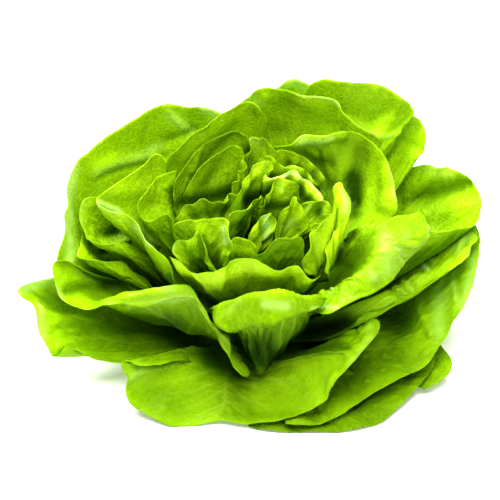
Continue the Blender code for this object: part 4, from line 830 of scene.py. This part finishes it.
def leaf_material(name, deep, mid, bright, pale, base, painted_sheen_colour, rough, thin, painted_depth_shade, edge, gloss=0.30):
    mat = bpy.data.materials.new(name)
    nt, new, link = nodes_of(mat)
    out = new("ShaderNodeOutputMaterial")
    data = new("ShaderNodeAttribute"); data.attribute_name = "leafdata"
    plane = new("ShaderNodeAttribute"); plane.attribute_name = "plane"
    under = new("ShaderNodeAttribute"); under.attribute_name = "under"
    painted_sheen_shade = new("ShaderNodeAttribute"); painted_sheen_shade.attribute_name = "painted_sheen_shade"
    gain = new("ShaderNodeAttribute"); gain.attribute_name = "gain"
    sep = new("ShaderNodeSeparateColor")
    link(data.outputs["Color"], sep.inputs[0])
    vein, puff, along, rand = sep.outputs[0], sep.outputs[1], sep.outputs[2], data.outputs["Alpha"]
    # broad mottling of the green
    n1 = new("ShaderNodeTexNoise"); n1.inputs["Scale"].default_value = 55.0; n1.inputs["Detail"].default_value = 3.0
    link(plane.outputs["Vector"], n1.inputs["Vector"])
    n2 = new("ShaderNodeTexNoise"); n2.inputs["Scale"].default_value = 420.0; n2.inputs["Detail"].default_value = 3.0
    link(plane.outputs["Vector"], n2.inputs["Vector"])
    # net of the smallest veins
    net = new("ShaderNodeTexVoronoi"); net.feature = "DISTANCE_TO_EDGE"; net.inputs["Scale"].default_value = 300.0
    link(plane.outputs["Vector"], net.inputs["Vector"])
    netline = ramp(nt, net.outputs["Distance"], 0.0, 0.16, 1.0, 0.0)
    net2 = new("ShaderNodeTexVoronoi"); net2.feature = "DISTANCE_TO_EDGE"; net2.inputs["Scale"].default_value = 900.0
    link(plane.outputs["Vector"], net2.inputs["Vector"])
    netline2 = ramp(nt, net2.outputs["Distance"], 0.0, 0.2, 1.0, 0.0)
    f = calc(nt, "ADD", calc(nt, "MULTIPLY", n1.outputs["Fac"], 0.75), calc(nt, "MULTIPLY", rand, 0.25))
    c = mix_colour(nt, ramp(nt, f, 0.32, 0.66), deep, mid)
    c = mix_colour(nt, calc(nt, "MULTIPLY", ramp(nt, puff, 0.15, 0.9), 0.65), c, bright)
    c = mix_colour(nt, calc(nt, "MULTIPLY", ramp(nt, n2.outputs["Fac"], 0.45, 0.75), 0.22), c, bright)
    c = mix_colour(nt, calc(nt, "MULTIPLY", netline, 0.16), c, pale)
    c = mix_colour(nt, calc(nt, "MULTIPLY", netline2, 0.07), c, pale)
    far = ramp(nt, along, 0.12, 0.50, 0.25, 0.78)
    c = mix_colour(nt, calc(nt, "MULTIPLY", ramp(nt, vein, 0.10, 0.72), far), c, pale)
    # the foot of the leaf is blanched
    c = mix_colour(nt, ramp(nt, along, 0.13, 0.02), c, base)
    # painted shade: deeper down, the inner side is coloured a darker green where shade falls between the leaves; the
    # outer side is darkened less
    low = ramp(nt, along, painted_depth_shade[0], painted_depth_shade[1], painted_depth_shade[2], 1.0)
    outer_side_painted_shade = ramp(nt, along, painted_depth_shade[0] * 0.9, painted_depth_shade[1] * 0.92, painted_depth_shade[2] + 0.12, 0.94)
    low = calc(nt, "MAXIMUM", low, calc(nt, "MULTIPLY", under.outputs["Fac"], outer_side_painted_shade))
    # painted sheen: strokes above zero turn the green pale where highlights fall
    c = mix_colour(nt, calc(nt, "MULTIPLY", ramp(nt, painted_sheen_shade.outputs["Fac"], 0.0, 0.80), 0.92), c, painted_sheen_colour)
    # painted shade: strokes below zero darken the green where shade falls
    dark = ramp(nt, painted_sheen_shade.outputs["Fac"], -1.0, 0.0, 0.18, 1.0)
    low = calc(nt, "MULTIPLY", low, dark)
    # painted shade: the very rim is coloured a deeper green to hide the light it catches; each leaf's green is then
    # scaled by its gain, partly its own tone, partly painted light and shade
    low = calc(nt, "MULTIPLY", low, ramp(nt, along, 0.970, 1.0, 1.0, edge))
    low = calc(nt, "MULTIPLY", low, gain.outputs["Fac"])
    shade = nt.nodes.new("ShaderNodeCombineColor")
    link(calc(nt, "POWER", low, 1.22), shade.inputs[0])
    link(low, shade.inputs[1])
    link(calc(nt, "POWER", low, 1.7), shade.inputs[2])
    mul = nt.nodes.new("ShaderNodeMix")
    mul.data_type = "RGBA"
    mul.blend_type = "MULTIPLY"
    mul.inputs[0].default_value = 1.0
    link(c, mul.inputs[6])
    link(shade.outputs[0], mul.inputs[7])
    c = mul.outputs[2]
    # relief
    h = calc(nt, "ADD", calc(nt, "MULTIPLY", netline, -0.6), calc(nt, "MULTIPLY", netline2, -0.25))
    h = calc(nt, "ADD", h, calc(nt, "MULTIPLY", n2.outputs["Fac"], 0.5))
    bump = new("ShaderNodeBump")
    bump.inputs["Strength"].default_value = 0.35
    bump.inputs["Distance"].default_value = 0.0006
    link(h, bump.inputs["Height"])
    p = new("ShaderNodeBsdfPrincipled")
    link(c, p.inputs["Base Color"])
    link(bump.outputs["Normal"], p.inputs["Normal"])
    p.inputs["Specular IOR Level"].default_value = gloss
    p.inputs["Specular Tint"].default_value = (0.85, 1.0, 0.62, 1.0)
    link(ramp(nt, n2.outputs["Fac"], 0.2, 0.8, rough - 0.06, rough + 0.1), p.inputs["Roughness"])
    tr = new("ShaderNodeBsdfTranslucent")
    tc = mix_colour(nt, 0.72, c, (0.50, 0.72, 0.008))
    link(tc, tr.inputs["Color"])
    link(bump.outputs["Normal"], tr.inputs["Normal"])
    mx = new("ShaderNodeMixShader")
    mx.inputs[0].default_value = thin
    link(p.outputs[0], mx.inputs[1])
    link(tr.outputs[0], mx.inputs[2])
    link(mx.outputs[0], out.inputs["Surface"])
    return mat


def stem_material():
    mat = bpy.data.materials.new("lettuce_stem")
    nt, new, link = nodes_of(mat)
    out = new("ShaderNodeOutputMaterial")
    tc = new("ShaderNodeTexCoord")
    sp = new("ShaderNodeSeparateXYZ")
    link(tc.outputs["Object"], sp.inputs[0])
    rad = calc(nt, "SQRT", calc(nt, "ADD", calc(nt, "MULTIPLY", sp.outputs[0], sp.outputs[0]), calc(nt, "MULTIPLY", sp.outputs[1], sp.outputs[1])), 0.0)
    n = new("ShaderNodeTexNoise"); n.inputs["Scale"].default_value = 180.0; n.inputs["Detail"].default_value = 5.0
    link(tc.outputs["Object"], n.inputs["Vector"])
    w = calc(nt, "ADD", rad, calc(nt, "MULTIPLY", n.outputs["Fac"], 0.0022))
    ring = calc(nt, "MULTIPLY", ramp(nt, w, 0.0095, 0.0108), ramp(nt, w, 0.0135, 0.0120))
    cut = ramp(nt, sp.outputs[2], 0.0016, 0.0004)
    side = mix_colour(nt, ramp(nt, n.outputs["Fac"], 0.35, 0.65), (0.62, 0.72, 0.36), (0.80, 0.84, 0.58))
    side = mix_colour(nt, ramp(nt, sp.outputs[2], 0.020, 0.044), side, (0.20, 0.36, 0.012))
    face = mix_colour(nt, ring, (0.80, 0.80, 0.60), (0.55, 0.56, 0.30))
    face = mix_colour(nt, calc(nt, "MULTIPLY", ramp(nt, n.outputs["Fac"], 0.5, 0.72), 0.6), face, (0.56, 0.36, 0.17))
    c = mix_colour(nt, cut, side, face)
    bump = new("ShaderNodeBump"); bump.inputs["Strength"].default_value = 0.5; bump.inputs["Distance"].default_value = 0.0006
    link(n.outputs["Fac"], bump.inputs["Height"])
    p = new("ShaderNodeBsdfPrincipled")
    link(c, p.inputs["Base Color"])
    link(bump.outputs["Normal"], p.inputs["Normal"])
    p.inputs["Roughness"].default_value = 0.5
    p.inputs["Subsurface Weight"].default_value = 0.15
    p.inputs["Subsurface Radius"].default_value = (0.004, 0.005, 0.002)
    link(p.outputs[0], out.inputs["Surface"])
    return mat


def stem_mesh():
    """The core: turned profile with the scars and ridges of the leaf joints."""
    nz, na = 90, 128
    V, F = [], []
    zs = [0.0, 0.15, 0.5] + [1.0 + 50.6 * (k / nz) for k in range(nz + 1)]
    for z in zs:
        r0 = float(stem_radius(z)) - 0.25
        if z < 0.5:
            r0 -= 0.5 * (0.5 - z)
        for k in range(na):
            a = 2 * math.pi * k / na
            q = np.array([[r0 * math.cos(a) / 4.0, r0 * math.sin(a) / 4.0, z / 5.0]])
            d = 0.22 * float(vnoise(q, 77)[0]) + 0.12 * math.sin(z * 1.9 + 2 * a)
            r = max(r0 + (d - 0.3) * min(z / 2.0, 1.0), 0.8)
            V.append((r * math.cos(a), r * math.sin(a), z))
    m = len(zs)
    for j in range(m - 1):
        for k in range(na):
            p, q = j * na + k, j * na + (k + 1) % na
            F.append((p, q, q + na, p + na))
    # the cut face, in rings
    rings = [0.85, 0.65, 0.45, 0.25, 0.1]
    last = list(range(na))
    for f in rings:
        start = len(V)
        for k in range(na):
            x, y, _ = V[k]
            V.append((x * f, y * f, 0.0))
        cur = list(range(start, start + na))
        for k in range(na):
            q = (k + 1) % na
            F.append((last[q], last[k], cur[k], cur[q]))
        last = cur
    c = len(V)
    V.append((0, 0, 0))
    for k in range(na):
        F.append((last[(k + 1) % na], last[k], c))
    t = len(V)
    V.append((0, 0, 51.8))
    for k in range(na):
        F.append((t, (m - 1) * na + k, (m - 1) * na + (k + 1) % na))
    me = bpy.data.meshes.new("stem_core")
    me.from_pydata([(x * 0.001, y * 0.001, z * 0.001) for x, y, z in V], [], F)
    me.update()
    me.validate()
    me.polygons.foreach_set("use_smooth", np.ones(len(me.polygons), dtype=bool))
    ob = bpy.data.objects.new("stem_core", me)
    bpy.context.scene.collection.objects.link(ob)
    return ob


# ---------------------------------------------------------------------- build
for ob in list(bpy.data.objects):
    bpy.data.objects.remove(ob, do_unlink=True)
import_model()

sheets = relax([blank(i) for i in range(N)], 12)
rooms = clearance(sheets)

# the last colour of each set is the pale colour of painted sheen
OUTER_COL = dict(deep=(0.146, 0.266, 0.0003), mid=(0.222, 0.380, 0.0004), bright=(0.292, 0.466, 0.0008), pale=(0.38, 0.54, 0.045), base=(0.40, 0.62, 0.08), painted_sheen_colour=(0.40, 0.60, 0.160))
MIDDLE_COL = dict(deep=(0.160, 0.286, 0.0003), mid=(0.240, 0.400, 0.0004), bright=(0.310, 0.480, 0.0010), pale=(0.40, 0.56, 0.055), base=(0.40, 0.62, 0.08), painted_sheen_colour=(0.41, 0.61, 0.165))
HEART_COL = dict(deep=(0.166, 0.292, 0.0003), mid=(0.254, 0.412, 0.0006), bright=(0.330, 0.496, 0.0030), pale=(0.42, 0.57, 0.070), base=(0.40, 0.60, 0.08), painted_sheen_colour=(0.39, 0.56, 0.160))
# each material paints shade deeper down its leaves and along the rim; the shaded copy paints deeper shade on the front
# middle leaf and is less glossy
outer_mat = leaf_material("lettuce_outer_leaf", rough=0.40, thin=0.28, painted_depth_shade=(0.10, 0.60, 0.42), edge=1.0, **OUTER_COL)
middle_mat = leaf_material("lettuce_middle_leaf", rough=0.38, thin=0.28, painted_depth_shade=(0.25, 0.85, 0.30), edge=0.92, **MIDDLE_COL)
shaded_mat = leaf_material("lettuce_shaded_leaf", rough=0.46, thin=0.28, painted_depth_shade=(0.28, 0.88, 0.22), edge=0.92, gloss=0.10, **MIDDLE_COL)
heart_mat = leaf_material("lettuce_heart_leaf", rough=0.38, thin=0.24, painted_depth_shade=(0.50, 0.94, 0.05), edge=0.74, **HEART_COL)

for i in range(N):
    name = LEAVES[i][0]
    top, bot, data, plane, painted_sheen_shade = fine_leaf(i, sheets[i], rooms[i])
    ob = shell_mesh("leaf_" + name, top, bot, data, plane, painted_sheen_shade)
    if name.startswith("heart"):
        ob.data.materials.append(heart_mat)
    elif i < 13:
        ob.data.materials.append(outer_mat)
    else:
        ob.data.materials.append(shaded_mat if name == "front_mid" else middle_mat)
    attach(ob, "root")
    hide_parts(name)

core = stem_mesh()
core.data.materials.append(stem_material())
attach(core, "root")
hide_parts("stem")

# ---------------------------------------------------------------------- stage
floor_me = bpy.data.meshes.new("floor")
floor_me.from_pydata([(-4, -4, 0), (4, -4, 0), (4, 4, 0), (-4, 4, 0)], [], [(0, 1, 2, 3)])
floor = bpy.data.objects.new("floor", floor_me)
bpy.context.scene.collection.objects.link(floor)
fm = bpy.data.materials.new("pale_floor")
nt, new, link = nodes_of(fm)
o = new("ShaderNodeOutputMaterial")
p = new("ShaderNodeBsdfPrincipled")
p.inputs["Base Color"].default_value = (0.90, 0.90, 0.90, 1)
p.inputs["Roughness"].default_value = 0.9
p.inputs["Specular IOR Level"].default_value = 0.0
p.inputs["Emission Color"].default_value = (1.0, 1.0, 1.0, 1)
p.inputs["Emission Strength"].default_value = 0.15
link(p.outputs[0], o.inputs["Surface"])
floor.data.materials.append(fm)

world = bpy.data.worlds.new("studio")
bpy.context.scene.world = world
world.use_nodes = True
world.node_tree.nodes["Background"].inputs[0].default_value = (1, 1, 1, 1)
world.node_tree.nodes["Background"].inputs[1].default_value = WORLD


def area(name, loc, target, size, power):
    d = bpy.data.lights.new(name, "AREA")
    d.shape = "SQUARE"
    d.size = size
    d.energy = power
    ob = bpy.data.objects.new(name, d)
    ob.location = loc
    ob.rotation_euler = (Vector(target) - Vector(loc)).to_track_quat("-Z", "Y").to_euler()
    bpy.context.scene.collection.objects.link(ob)
    return ob


for lamp in LAMPS:
    ob = area(*lamp)
    ob.visible_glossy = lamp[0] == "key"

cam_data = bpy.data.cameras.new("camera")
cam = bpy.data.objects.new("camera", cam_data)
bpy.context.scene.collection.objects.link(cam)
DIST = 5.0
e = math.radians(40.0)
target = Vector((0.0, 0.056 * math.sin(e), 0.056 * math.cos(e)))
cam.location = target + DIST * Vector((0.0, -math.cos(e), math.sin(e)))
cam.rotation_euler = (target - cam.location).to_track_quat("-Z", "Y").to_euler()
cam_data.sensor_width = 36.0
cam_data.lens = 36.0 * DIST / 0.280
cam_data.clip_end = 50.0
bpy.context.scene.camera = cam
bpy.context.scene.view_settings.view_transform = "Standard"
bpy.context.scene.view_settings.look = "High Contrast"
bpy.context.scene.view_settings.exposure = 0.0
